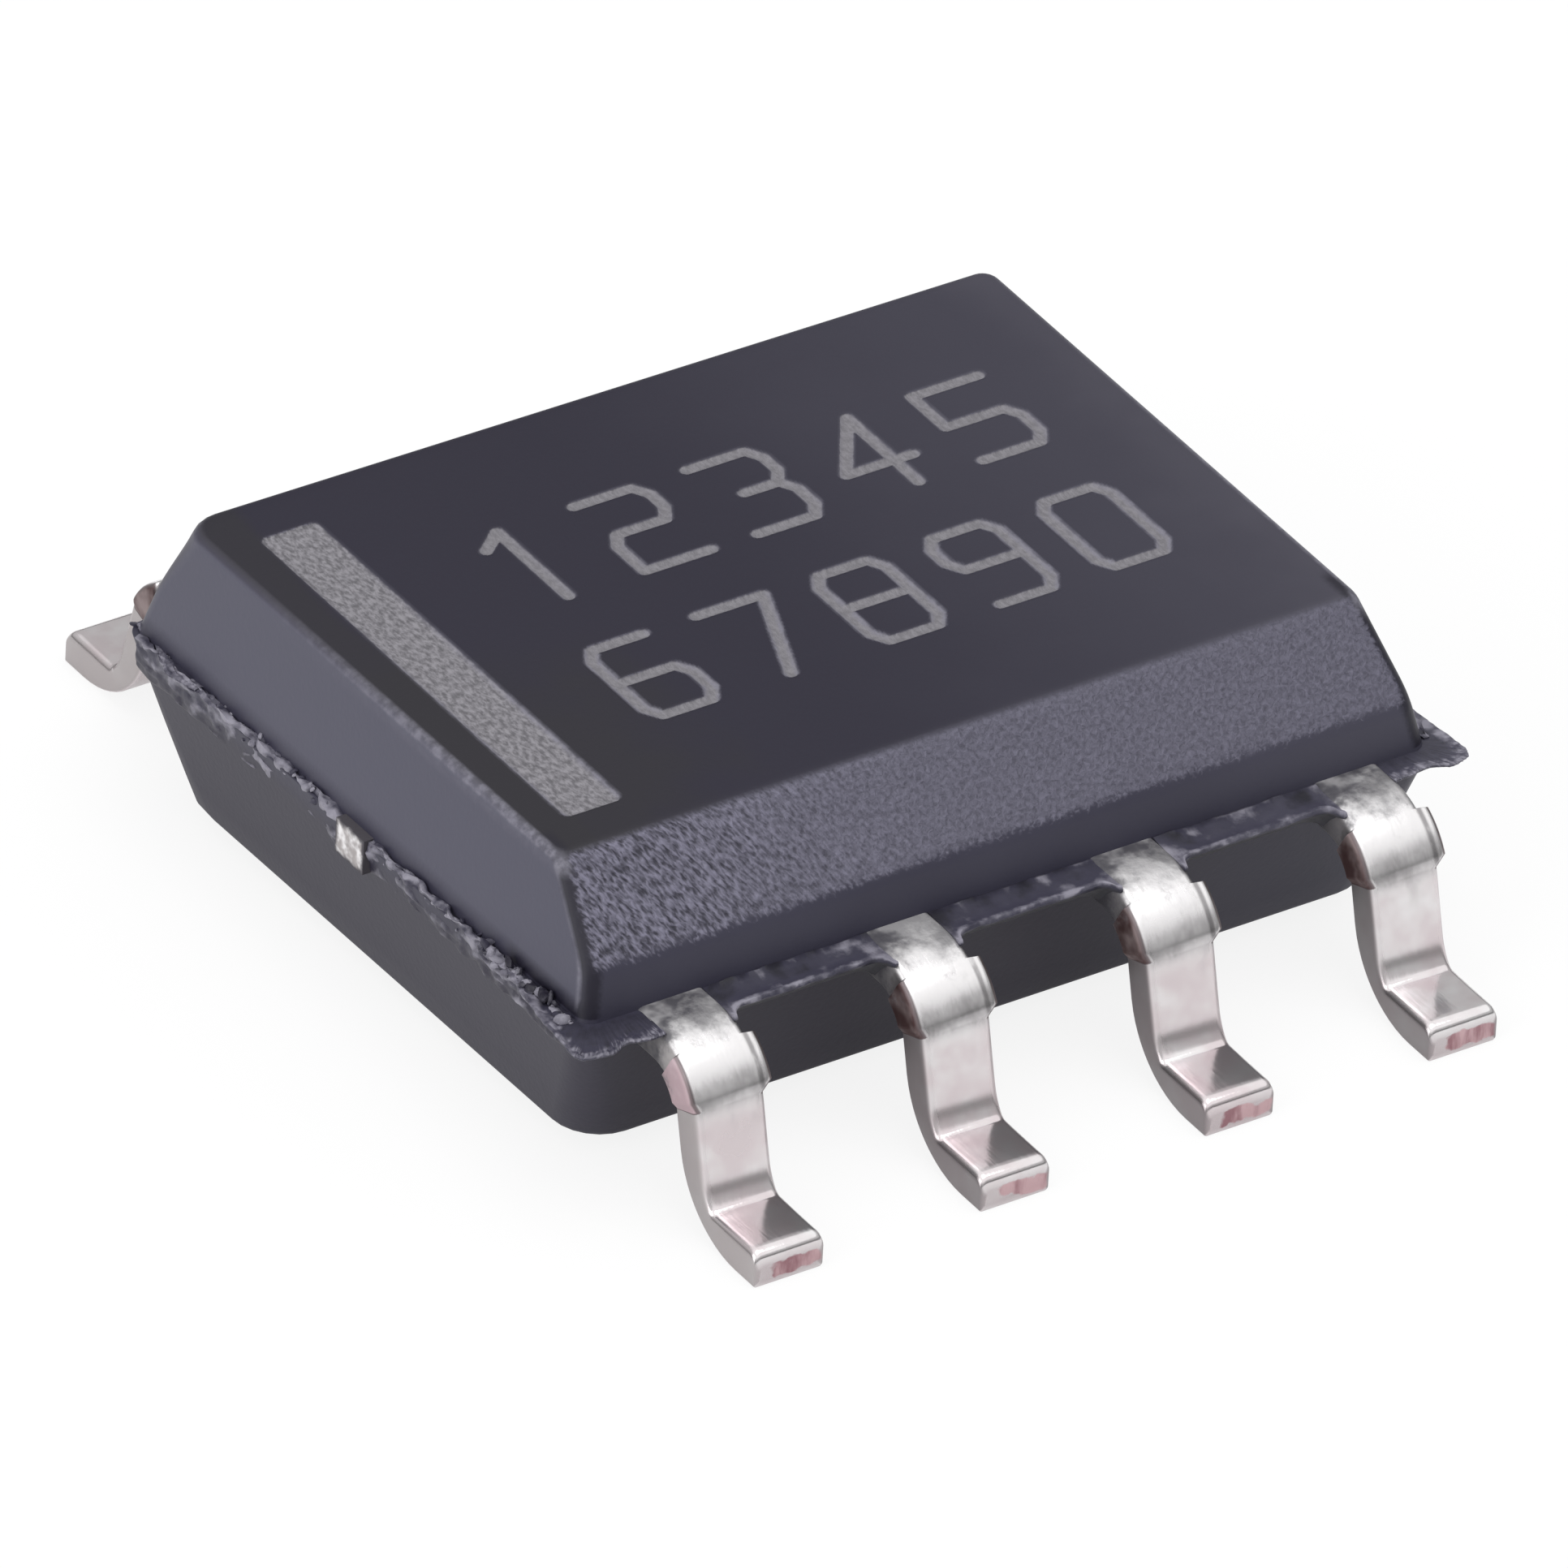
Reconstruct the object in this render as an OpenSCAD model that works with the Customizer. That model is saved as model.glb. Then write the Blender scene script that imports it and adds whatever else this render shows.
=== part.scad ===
// Eight-lead small-outline switching regulator: a drafted resin body moulded around a stamped
// leadframe, with the die, its attach layer and the bond wires sealed inside.
// Millimetres. X runs along the body, the pin 1 row is on the -Y side, Z = 0 is the solder plane.

/* [Moulded body] */
// Length of the body where the two mould halves meet, along X
body_len = 4.78; // [4.7:0.01:5.1]
// Width of the body where the two mould halves meet, along Y
body_wid = 3.82; // [3.7:0.01:4.1]
// Thickness of the body from its underside to its top
body_thk = 1.47; // [1.4:0.01:1.6]
// Air gap between the solder plane and the underside of the body
standoff = 0.11; // [0.05:0.01:0.2]
// Draft of the two end walls, in degrees
end_draft = 11; // [5:0.5:14]
// Draft of the upper half's walls above the leads, in degrees
upper_draft = 14.5; // [5:0.5:16]
// Draft of the lower half's walls below the leads, in degrees
lower_draft = 12.5; // [5:0.5:14]
// How far the lower half stands out past the upper half where they meet
half_step = 0.04; // [0.02:0.01:0.06]
// Leg of the 45 degree bevel along the pin 1 side
bevel = 0.4; // [0.25:0.01:0.5]
// Radius of the upright corners of the upper half
upper_corner_r = 0.06; // [0.05:0.01:0.2]
// Radius of the upright corners of the lower half where the halves meet
parting_corner_r = 0.1; // [0.06:0.01:0.2]
// Radius of the upright corners of the lower half at the underside
bottom_corner_r = 0.26; // [0.1:0.01:0.35]

/* [Resin left at the parting plane] */
// How far the resin web between two leads stands out of the side wall
web_out = 0.21; // [0.05:0.01:0.22]
// Radius that the trim punch leaves where a web meets a lead
web_fillet = 0.08; // [0.03:0.01:0.09]
// How far the resin rim stands out of the end walls
rim_out = 0.07; // [0.03:0.01:0.12]
// Thickness of the flash that squeezed out at the corners
flash_thk = 0.04; // [0.03:0.01:0.08]
// How far the flash reaches past the end wall at pin 1
flash_1 = 0.18; // [0.1:0.01:0.26]
// How far the flash reaches past the end wall at pin 4
flash_4 = 0.14; // [0.1:0.01:0.26]
// How far the flash reaches past the end wall at pin 5
flash_5 = 0.17; // [0.1:0.01:0.26]
// How far the flash reaches past the end wall at pin 8
flash_8 = 0.12; // [0.1:0.01:0.26]
// How far the flash reaches past the side wall on the pin 1 side
flash_front = 0.19; // [0.06:0.01:0.22]
// How far the flash reaches past the side wall on the other side
flash_back = 0.08; // [0.06:0.01:0.22]
// How far the flash runs along the end walls
flash_run = 0.62; // [0.3:0.01:1]

/* [Leadframe] */
// Thickness of the plated strip
frame_thk = 0.19; // [0.15:0.01:0.24]
// Distance between neighbouring leads
pitch = 1.27; // [1.24:0.01:1.28]
// Distance between the toes of opposite leads
lead_span = 6; // [5.8:0.02:6.2]
// Width of a lead
lead_wid = 0.39; // [0.32:0.01:0.5]
// Width of a lead across the stubs of the trimmed tie between the leads
stub_wid = 0.47; // [0.44:0.01:0.6]
// How far the stubs sit towards one side of the lead
stub_shift = 0.02; // [0:0.005:0.02]
// Length of the flat solder foot
foot_len = 0.16; // [0.12:0.01:0.22]
// Slope of the leg from the horizontal, in degrees
leg_angle = 76; // [72:1:80]
// Centreline radius of the bend at the shoulder
shoulder_r = 0.32; // [0.26:0.01:0.34]
// Centreline radius of the bend at the heel
heel_r = 0.43; // [0.36:0.01:0.44]
// Radius of the upper face where the leg bends into the heel
heel_in_r = 0.33; // [0.28:0.01:0.36]
// Tight radius of the upper face where the heel meets the foot
crook_r = 0.05; // [0.03:0.01:0.08]
// Width of the wire-bonding tip inside the resin
tip_wid = 0.56; // [0.5:0.01:0.7]
// Length of the wire-bonding tip along Y
tip_len = 0.26; // [0.2:0.01:0.32]
// Distance from the middle of the chip to the ends of the bonding tips
tip_y = 1.18; // [1.14:0.01:1.25]
// How far the tips of the four outer leads lean towards the middle
tip_lean = 0.36; // [0.2:0.01:0.4]

/* [Die stack] */
// Length of the die pad along X
pad_len = 2.3; // [2.1:0.01:2.4]
// Width of the die pad along Y
pad_wid = 1.9; // [1.7:0.01:2]
// How far the die pad is set down below the leads
downset = 0.2; // [0.1:0.01:0.25]
// Width of the two bars that carry the die pad
tie_wid = 0.24; // [0.15:0.01:0.35]
// Distance from the middle of the chip to the start of the rise in each bar
tie_rise_x = 1.4; // [1.3:0.01:1.6]
// Thickness of the die-attach layer
attach_thk = 0.03; // [0.02:0.005:0.05]
// Margin of the die-attach layer around the die
attach_margin = 0.06; // [0.02:0.01:0.1]
// Length of the silicon die along X
die_len = 1.86; // [1.6:0.01:1.9]
// Width of the silicon die along Y
die_wid = 1.48; // [1.2:0.01:1.5]
// Thickness of the silicon die
die_thk = 0.25; // [0.15:0.01:0.28]

/* [Bond wires] */
// Diameter of a bond wire
wire_d = 0.05; // [0.03:0.005:0.06]
// Diameter of the ball at the die end
ball_d = 0.09; // [0.07:0.005:0.11]
// Rise of the loop above the line between its two ends
wire_rise = 0.2; // [0.15:0.01:0.28]
// Distance of the bond pads from the edge of the die
bond_inset = 0.12; // [0.1:0.01:0.2]

/* [Laser marking] */
// Depth that the laser takes off the resin
mark_depth = 0.02; // [0.015:0.005:0.03]
// Width of the orientation bar
bar_wid = 0.31; // [0.2:0.01:0.4]
// Length of the orientation bar
bar_len = 2.66; // [2:0.01:2.8]
// Gap between the orientation bar and the -X edge of the top
bar_gap = 0.22; // [0.15:0.01:0.4]
// Width of a drawn stroke
stroke_wid = 0.06; // [0.04:0.005:0.08]
// Height of a digit
digit_h = 0.62; // [0.5:0.01:0.7]
// Width of a digit
digit_w = 0.38; // [0.3:0.01:0.42]
// Distance between neighbouring digits
digit_step = 0.64; // [0.58:0.01:0.68]
// Distance between the two rows of digits
row_step = 1.06; // [0.9:0.01:1.15]

/* [Hidden] */

pins = [1:8];
pins_per_side = 4;
body_top = standoff + body_thk;
frame_mid = standoff + body_thk / 2;
lead_top = frame_mid + frame_thk / 2;
lead_bot = frame_mid - frame_thk / 2;
end_x = body_len / 2;
side_y = body_wid / 2;

// Lead profile: shoulder bend, sloping leg, heel bend and flat foot
toe_y = lead_span / 2;
drop = frame_mid - frame_thk / 2;
leg_len = (drop - (shoulder_r + heel_r) * (1 - cos(leg_angle))) / sin(leg_angle);
heel_y = toe_y - foot_len;
shoulder_y = heel_y - (shoulder_r + heel_r) * sin(leg_angle) - leg_len * cos(leg_angle);
bend_steps = 8;
stub_step = 3;
stub_end_step = 7.4;
crook_angle = 52; // slope at which the tight radius takes over

// Upper face of the heel: a wide bend from the leg, then a tight one into the foot
leg_top_y = shoulder_y + (shoulder_r + frame_thk / 2) * sin(leg_angle);
leg_top_z = frame_mid - shoulder_r + (shoulder_r + frame_thk / 2) * cos(leg_angle);
heel_in_z = frame_thk + crook_r + (heel_in_r - crook_r) * cos(crook_angle);
crook_y = leg_top_y + (leg_top_z - heel_in_z + heel_in_r * cos(leg_angle)) / tan(leg_angle)
    + heel_in_r * sin(leg_angle) - (heel_in_r - crook_r) * sin(crook_angle);
heel_in_y = crook_y + (heel_in_r - crook_r) * sin(crook_angle);
neck_y = tip_y + tip_len + 0.2;
overlap = 0.04;
wall_overlap = 0.1; // deep enough to stay inside the drafted walls
flash_curl = 0.05; // how much the ragged outline of the corner flash wanders

// Die stack
pad_top = lead_top - downset;
pad_bot = lead_bot - downset;
attach_top = pad_top + attach_thk;
die_top = attach_top + die_thk;
tie_rise_len = downset * 1.2;
tie_end_x = end_x + rim_out;
wire_steps = 12;
wire_sides = 8;

// Top face inside its four edges
top_end_x = end_x - (body_top - lead_top) * tan(end_draft);
top_back_y = side_y - (body_top - lead_top) * tan(upper_draft);
bevel_foot_y = side_y - (body_top - bevel - lead_top) * tan(upper_draft);
top_front_y = bevel_foot_y - bevel;
top_mid_y = (top_back_y - top_front_y) / 2;
digits_x = -top_end_x + bar_gap + bar_wid + 0.5;
hairline = 0.01; // width of a stroke before it is thickened

// ---- shared shapes ----

function arc(c, r, a0, a1, n) =
    [for (i = [0:n]) let (a = a0 + (a1 - a0) * i / n) c + r * [cos(a), sin(a)]];

function rounded(x, y, r) = concat(
    arc([x - r, y - r], r, 0, 90, 5), arc([r - x, y - r], r, 90, 180, 5),
    arc([r - x, r - y], r, 180, 270, 5), arc([x - r, r - y], r, 270, 360, 5));

// Solid between two outlines with the same number of points
module loft(low, z_low, high, z_high) {
    n = len(low);
    points = concat([for (p = low) [p[0], p[1], z_low]], [for (p = high) [p[0], p[1], z_high]]);
    faces = concat([[for (i = [0:n - 1]) i]], [[for (i = [n - 1:-1:0]) n + i]],
        [for (i = [0:n - 1]) let (j = (i + 1) % n) [j, i, n + i, n + j]]);
    polyhedron(points, faces);
}

// Extrudes an outline drawn in Y and Z along X, centred
module along_x(width, outline) {
    rotate([90, 0, 90]) linear_extrude(height = width, center = true) polygon(outline);
}

// ---- leads ----

function pin_front(pin) = pin <= pins_per_side;
function pin_x(pin) = let (k = pin_front(pin) ? pin - 1 : 2 * pins_per_side - pin)
    (k - (pins_per_side - 1) / 2) * pitch;
function pin_outer(pin) = abs(pin_x(pin)) > pitch;
function tip_shift(pin) = pin_outer(pin) ? -sign(pin_x(pin)) * tip_lean : 0;

function shoulder_arc(r, i0, i1) = arc([shoulder_y, frame_mid - shoulder_r], r,
    90 - leg_angle * i0 / bend_steps, 90 - leg_angle * i1 / bend_steps, ceil(abs(i1 - i0)));
function heel_arc(r, a0, a1) = arc([heel_y, frame_thk / 2 + heel_r], r, a0, a1, bend_steps);

function lead_profile() = let (h = frame_thk / 2) concat(
    [[neck_y - overlap, lead_top]],
    shoulder_arc(shoulder_r + h, 0, bend_steps),
    arc([heel_in_y, heel_in_z], heel_in_r, 270 - leg_angle, 270 - crook_angle, 4),
    arc([crook_y, frame_thk + crook_r], crook_r, 270 - crook_angle, 270, 4),
    [[toe_y, frame_thk], [toe_y, 0]],
    heel_arc(heel_r + h, 270, 270 - leg_angle),
    shoulder_arc(shoulder_r - h, bend_steps, 0),
    [[neck_y - overlap, lead_bot]]);

function stub_profile() = let (h = frame_thk / 2) concat(
    shoulder_arc(shoulder_r + h, stub_step, stub_end_step),
    shoulder_arc(shoulder_r - h, stub_end_step, stub_step));

function tip_outline(shift) = let (w = lead_wid / 2, t = tip_wid / 2, y = tip_y + tip_len) [
    [-w, neck_y], [shift - t, y], [shift - t, tip_y],
    [shift + t, tip_y], [shift + t, y], [w, neck_y]];

module lead(pin) {
    translate([pin_x(pin), 0, 0]) mirror([0, pin_front(pin) ? 1 : 0, 0]) {
        along_x(lead_wid, lead_profile());
        translate([stub_shift, 0, 0]) along_x(stub_wid, stub_profile());
        translate([0, 0, lead_bot]) linear_extrude(height = frame_thk)
            polygon(tip_outline(tip_shift(pin)));
    }
}

// ---- die stack ----

module die_pad() {
    color([0.72, 0.45, 0.33]) {
        translate([-pad_len / 2, -pad_wid / 2, pad_bot]) cube([pad_len, pad_wid, frame_thk]);
        for (s = [0, 1]) mirror([s, 0, 0]) tie_bar();
    }
}

module tie_bar() {
    rise_end = tie_rise_x + tie_rise_len;
    rotate([90, 0, 0]) linear_extrude(height = tie_wid, center = true) polygon([
        [pad_len / 2 - overlap, pad_bot], [tie_rise_x, pad_bot], [rise_end, lead_bot],
        [tie_end_x, lead_bot], [tie_end_x, lead_top],
        [rise_end, lead_top], [tie_rise_x, pad_top], [pad_len / 2 - overlap, pad_top]]);
}

module die_attach() {
    color([0.75, 0.75, 0.72])
        translate([0, 0, pad_top]) linear_extrude(height = attach_thk)
            square([die_len + 2 * attach_margin, die_wid + 2 * attach_margin], center = true);
}

module silicon_die() {
    color([0.35, 0.38, 0.45])
        translate([0, 0, attach_top]) linear_extrude(height = die_thk)
            square([die_len, die_wid], center = true);
}

// ---- bond wires: a loop that leaves the die and reaches the lead tip upright ----

function bond_x(pin) = pin_x(pin) * (die_len / 2 - bond_inset) / (1.5 * pitch);
function side(pin) = pin_front(pin) ? -1 : 1;
function wire_start(pin) = [bond_x(pin), side(pin) * (die_wid / 2 - bond_inset)];
function wire_end(pin) = [pin_x(pin) + tip_shift(pin), side(pin) * (tip_y + tip_len / 2)];

function wire_ring(pin, k) = let (
    a = 180 * k / wire_steps, s = (1 - cos(a)) / 2,
    reach = wire_end(pin) - wire_start(pin), run = norm(reach), u = reach / run,
    fall = lead_top - die_top,
    d_run = run * sin(a) / 2, d_z = fall * sin(a) / 2 + wire_rise * cos(a),
    n = [d_z, -d_run] / norm([d_z, d_run]),
    c = wire_start(pin) + reach * s, z = die_top + fall * s + wire_rise * sin(a),
    r = (k == 0 ? ball_d : wire_d) / 2)
    [for (j = [0:wire_sides - 1]) let (b = 360 * j / wire_sides,
        p = c + r * (cos(b) * n[0] * u + sin(b) * [-u[1], u[0]]))
        [p[0], p[1], z + r * cos(b) * n[1]]];

module bond_wire(pin) {
    m = wire_sides;
    points = [for (k = [0:wire_steps]) each wire_ring(pin, k)];
    sides = [for (k = [0:wire_steps - 1], j = [0:m - 1]) let (i = k * m, e = (j + 1) % m)
        [i + j, i + e, i + m + e, i + m + j]];
    faces = concat([[for (j = [m - 1:-1:0]) j]], sides,
        [[for (j = [0:m - 1]) wire_steps * m + j]]);
    color([0.85, 0.65, 0.25]) polyhedron(points, [for (f = faces) [for (i = [len(f) - 1:-1:0]) f[i]]]);
}

// ---- laser marking: plain digits drawn with single strokes on a unit square ----

cut = 0.14; // cut corner of a stroke
mid = 0.52; // height of a middle bar
loop = [[cut, 0], [1 - cut, 0], [1, cut], [1, 1 - cut], [1 - cut, 1], [cut, 1], [0, 1 - cut], [0, cut],
    [cut, 0]];
glyphs = [
    [loop],
    [[[0.2, 0.82], [0.55, 1], [0.55, 0]]],
    [[[0, 1], [1 - cut, 1], [1, 1 - cut], [1, mid + cut], [1 - cut, mid], [cut, mid], [0, mid - cut],
        [0, 0], [1, 0]]],
    [[[0, 1], [1 - cut, 1], [1, 1 - cut], [1, mid + cut], [1 - cut, mid], [0.35, mid]],
        [[1 - cut, mid], [1, mid - cut], [1, cut], [1 - cut, 0], [0, 0]]],
    [[[0.72, 0], [0.72, 1], [0, 0.34], [1, 0.34]]],
    [[[1, 1], [0, 1], [0, mid], [1 - cut, mid], [1, mid - cut], [1, cut], [1 - cut, 0], [0, 0]]],
    [[[0.9, 1], [cut, 1], [0, 1 - cut], [0, cut], [cut, 0], [1 - cut, 0], [1, cut], [1, mid - cut],
        [1 - cut, mid], [0, mid]]],
    [[[0, 1], [1, 1], [0.35, 0]]],
    [loop, [[0, mid], [1, mid]]],
    [[[0.1, 0], [1 - cut, 0], [1, cut], [1, 1 - cut], [1 - cut, 1], [cut, 1], [0, 1 - cut],
        [0, mid + cut], [cut, mid], [1, mid]]]];

module segment(a, b) {
    v = b - a;
    translate(a) rotate(atan2(v[1], v[0])) translate([0, -hairline / 2]) square([norm(v), hairline]);
}

module digit(value) {
    for (path = glyphs[value], i = [1:len(path) - 1])
        segment([path[i - 1][0] * digit_w, path[i - 1][1] * digit_h],
                [path[i][0] * digit_w, path[i][1] * digit_h]);
}

module marking() {
    translate([-top_end_x + bar_gap, top_mid_y - bar_len / 2]) square([bar_wid, bar_len]);
    offset(r = (stroke_wid - hairline) / 2, $fn = 8)
        for (i = [0:9])
            translate([digits_x + (i % 5) * digit_step,
                       top_mid_y - digit_h / 2 + (i < 5 ? row_step / 2 : -row_step / 2)])
                digit((i + 1) % 10);
}

// ---- moulded body: two drafted halves that meet level with the top of the leads ----

module upper_half() {
    h = body_top - lead_top;
    difference() {
        loft(rounded(end_x, side_y, upper_corner_r), lead_top,
             rounded(end_x - h * tan(end_draft), side_y - h * tan(upper_draft), upper_corner_r),
             body_top);
        along_x(body_len, [[-top_front_y, body_top], [-top_front_y - 2 * bevel, body_top - 2 * bevel],
            [-top_front_y - 2 * bevel, body_top + bevel], [-top_front_y, body_top + bevel]]);
    }
}

module lower_half() {
    h = lead_top - standoff;
    x = end_x + half_step;
    y = side_y + half_step;
    loft(rounded(x - h * tan(end_draft), y - h * tan(lower_draft), bottom_corner_r), standoff,
         rounded(x, y, parting_corner_r), lead_top);
}

// Resin between two leads, as thick as the leadframe that it filled
module gap_web() {
    half = (pitch - lead_wid) / 2;
    y = side_y + web_out;
    polygon(concat([[half, side_y - wall_overlap]],
        arc([half - web_fillet, y + web_fillet], web_fillet, 0, -90, 4),
        arc([web_fillet - half, y + web_fillet], web_fillet, -90, -180, 4),
        [[-half, side_y - wall_overlap]]));
}

// Thin flash around a corner, from the outer side of the last lead to the end rim
module corner_flash(end_reach, side_reach) {
    lead_x = 1.5 * pitch + lead_wid / 2;
    x_in = end_x - wall_overlap;
    y_in = side_y - wall_overlap;
    x = end_x + end_reach;
    y = side_y + side_reach;
    polygon([[lead_x, y_in], [lead_x, y + flash_curl], [end_x, y],
        [x - flash_curl, y - flash_curl / 2], [x, y - 2 * flash_curl],
        [x - flash_curl / 2, side_y - flash_run / 2], [end_x + rim_out, side_y - flash_run],
        [x_in, side_y - flash_run], [x_in, y_in]]);
}

module parting_resin() {
    translate([0, 0, lead_bot]) linear_extrude(height = frame_thk) {
        square([2 * (end_x + rim_out), 2 * (side_y - flash_run) + overlap], center = true);
        for (s = [0, 1], i = [-1:1])
            mirror([0, s]) translate([i * pitch, 0]) gap_web();
    }
    translate([0, 0, lead_top - flash_thk]) linear_extrude(height = flash_thk) {
        mirror([1, 0]) mirror([0, 1]) corner_flash(flash_1, flash_front);
        mirror([0, 1]) corner_flash(flash_4, flash_front);
        corner_flash(flash_5, flash_back);
        mirror([1, 0]) corner_flash(flash_8, flash_back);
    }
}

module mould_body() {
    color([0.26, 0.25, 0.3]) difference() {
        union() {
            upper_half();
            lower_half();
            parting_resin();
        }
        translate([0, 0, body_top - mark_depth]) linear_extrude(height = 2 * mark_depth) marking();
        for (pin = pins) lead(pin);
        die_pad();
        die_attach();
        silicon_die();
        for (pin = pins) bond_wire(pin);
    }
}

module tin_lead(pin) {
    color([0.8, 0.79, 0.79]) lead(pin);
}

mould_body();
die_pad();
die_attach();
silicon_die();
for (pin = pins) {
    tin_lead(pin);
    bond_wire(pin);
}
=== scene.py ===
# %% [markdown]
# # A switching regulator chip, dressed over its solid model
#
# A small-outline chip is a stamped metal frame with a block of resin moulded round it. The solid
# model already has every piece at its true size. This lesson makes the surfaces that the eye reads:
# edges with a small radius, a coarse bevel, laser marking, crumbs of flash and bright tin.
# Meshes are drawn in millimetres, because the whole chip is only 6 mm long, and are turned into
# metres once they are finished.

# %% Load the frame
import math

import bmesh
import bpy
import mathutils.noise
from mathutils import Matrix, Vector


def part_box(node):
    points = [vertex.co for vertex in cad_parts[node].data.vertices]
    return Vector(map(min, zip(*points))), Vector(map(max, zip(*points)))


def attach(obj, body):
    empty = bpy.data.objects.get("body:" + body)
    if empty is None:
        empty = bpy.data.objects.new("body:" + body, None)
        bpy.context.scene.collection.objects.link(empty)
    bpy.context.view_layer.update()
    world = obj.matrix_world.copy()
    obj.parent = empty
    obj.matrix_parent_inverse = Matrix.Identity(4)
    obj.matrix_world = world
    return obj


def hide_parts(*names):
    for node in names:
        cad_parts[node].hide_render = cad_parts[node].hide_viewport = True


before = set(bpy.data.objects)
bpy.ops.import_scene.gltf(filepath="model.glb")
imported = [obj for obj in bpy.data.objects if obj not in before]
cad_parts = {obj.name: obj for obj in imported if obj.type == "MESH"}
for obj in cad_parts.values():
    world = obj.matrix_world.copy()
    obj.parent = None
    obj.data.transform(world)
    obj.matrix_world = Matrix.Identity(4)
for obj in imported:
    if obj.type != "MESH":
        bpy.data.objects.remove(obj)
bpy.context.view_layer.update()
scene = bpy.context.scene
scene.view_settings.view_transform = "Standard"
print("frame loaded:", len(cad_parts), "solid nodes")

# %% [markdown]
# ## Sizes
#
# A chip's drawing gives the body, the lead pitch and the span of the toes. Those come from the
# boxes of the solid nodes, so the dressed pieces follow the solid model. The rest are small sizes
# that a box doesn't show: drafts, radii and the thickness of the metal.

# %% Sizes in millimetres
MM = 0.001


def box_mm(node):
    low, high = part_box(node)
    return [v / MM for v in low], [v / MM for v in high]


body_low, body_high = box_mm("mould_body")
pad_high = box_mm("die_pad")[1]
lead_low = box_mm("lead_2")[0]

standoff, body_top = body_low[2], body_high[2]
frame_top = pad_high[2]
frame_thk = 0.19  # thickness of the stamped strip
frame_mid = frame_top - frame_thk / 2
frame_low = frame_top - frame_thk
tie_end, tie_half = pad_high[0], 0.12
rim_out = 0.07  # how far the ends of the pad's tie bars stand out of the end walls
toe_y = -lead_low[1]
pitch = box_mm("lead_3")[0][0] - lead_low[0]
lead_width = 0.39

end_x, side_y = tie_end - rim_out, 1.91  # half the length and width of the upper half at its foot
half_step = 0.04  # how much further out the lower half starts
end_draft, upper_draft, lower_draft = (math.tan(math.radians(a)) for a in (11, 14.5, 12.5))
bevel = 0.4
bevel_foot_z = body_top - bevel
print(f"body top {body_top:.2f}, frame top {frame_top:.3f}, toes {2 * toe_y:.2f}, pitch {pitch:.2f} mm")

# %% [markdown]
# ## Camera
#
# A part this small is seen from far away through a long lens, so its edges stay almost parallel.
# The camera stands 222 mm away and looks at a point just under the middle of the body, with a
# slight roll.

# %% Camera
camera_aim = Vector((-0.113, -0.188, 0.528)) * MM
camera_distance = 222.2 * MM
camera_turn = math.radians(35.1)
camera_tilt = math.radians(34.14)
camera_roll = math.radians(3.27)

forward = Vector((math.sin(camera_turn) * math.cos(camera_tilt),
                  math.cos(camera_turn) * math.cos(camera_tilt), -math.sin(camera_tilt)))
level_right = Vector((math.cos(camera_turn), -math.sin(camera_turn), 0))
level_up = level_right.cross(forward)
right = level_right * math.cos(camera_roll) + level_up * math.sin(camera_roll)
up = right.cross(forward)

camera_data = bpy.data.cameras.new("camera")
camera_data.lens = 1077
camera_data.clip_start = 0.01
camera_data.clip_end = 5
camera = bpy.data.objects.new("camera", camera_data)
camera.matrix_world = Matrix.Translation(camera_aim - forward * camera_distance) @ Matrix(
    (right, up, -forward)).transposed().to_4x4()
scene.collection.objects.link(camera)
scene.camera = camera
print("camera", [round(v / MM, 1) for v in camera.location], "mm")

# %% [markdown]
# ## A small language for node trees
#
# Materials and Geometry Nodes are both trees of nodes. `Wire` wraps one socket, so that a sum such
# as `1 - mask * 0.5` adds its Math nodes by itself. `Tree.node` makes every other node: it sets the
# node's own settings first and then fills its sockets with numbers or with other wires.

# %% Wires and trees
class Wire:
    """A node socket that Python can do sums with."""

    def __init__(self, tree, socket):
        self.tree, self.socket = tree, socket

    def sums(self, operation, left, right=0):
        return self.tree.node("ShaderNodeMath", {"operation": operation}, {0: left, 1: right})

    def __add__(self, other): return self.sums("ADD", self, other)
    def __radd__(self, other): return self.sums("ADD", other, self)
    def __sub__(self, other): return self.sums("SUBTRACT", self, other)
    def __rsub__(self, other): return self.sums("SUBTRACT", other, self)
    def __mul__(self, other): return self.sums("MULTIPLY", self, other)
    def __rmul__(self, other): return self.sums("MULTIPLY", other, self)
    def __truediv__(self, other): return self.sums("DIVIDE", self, other)
    def __rtruediv__(self, other): return self.sums("DIVIDE", other, self)
    def __abs__(self): return self.sums("ABSOLUTE", self)


class Tree:
    """A node tree with one way to add a node."""

    def __init__(self, tree):
        self.tree = tree

    def node(self, kind, settings=None, sockets=None, out=0):
        made = self.tree.nodes.new(kind)
        for name, value in (settings or {}).items():
            setattr(made, name, value)
        for name, value in (sockets or {}).items():
            if isinstance(value, Wire):
                self.tree.links.new(value.socket, made.inputs[name])
            else:
                made.inputs[name].default_value = value
        return Wire(self, made.outputs[out]) if len(made.outputs) else made

    def ramp_up(self, value, low, high):
        """0 below low, 1 above high, smooth between them. low may be the larger one."""
        return self.node("ShaderNodeMapRange", {"interpolation_type": "SMOOTHSTEP"},
                         {"Value": value, "From Min": low, "From Max": high})

    def mix_colours(self, mask, under, over):
        """One colour over another where mask is 1. A plain colour is three numbers."""
        under, over = ((*c, 1) if isinstance(c, tuple) else c for c in (under, over))
        return self.node("ShaderNodeMix", {"data_type": "RGBA"}, {0: mask, 6: under, 7: over}, out=2)

    def coats(self, colour, *layers):
        """Lays layers of (mask, colour) over a colour, one after another."""
        for mask, over in layers:
            colour = self.mix_colours(mask, colour, over)
        return colour


print("node helpers ready")

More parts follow.
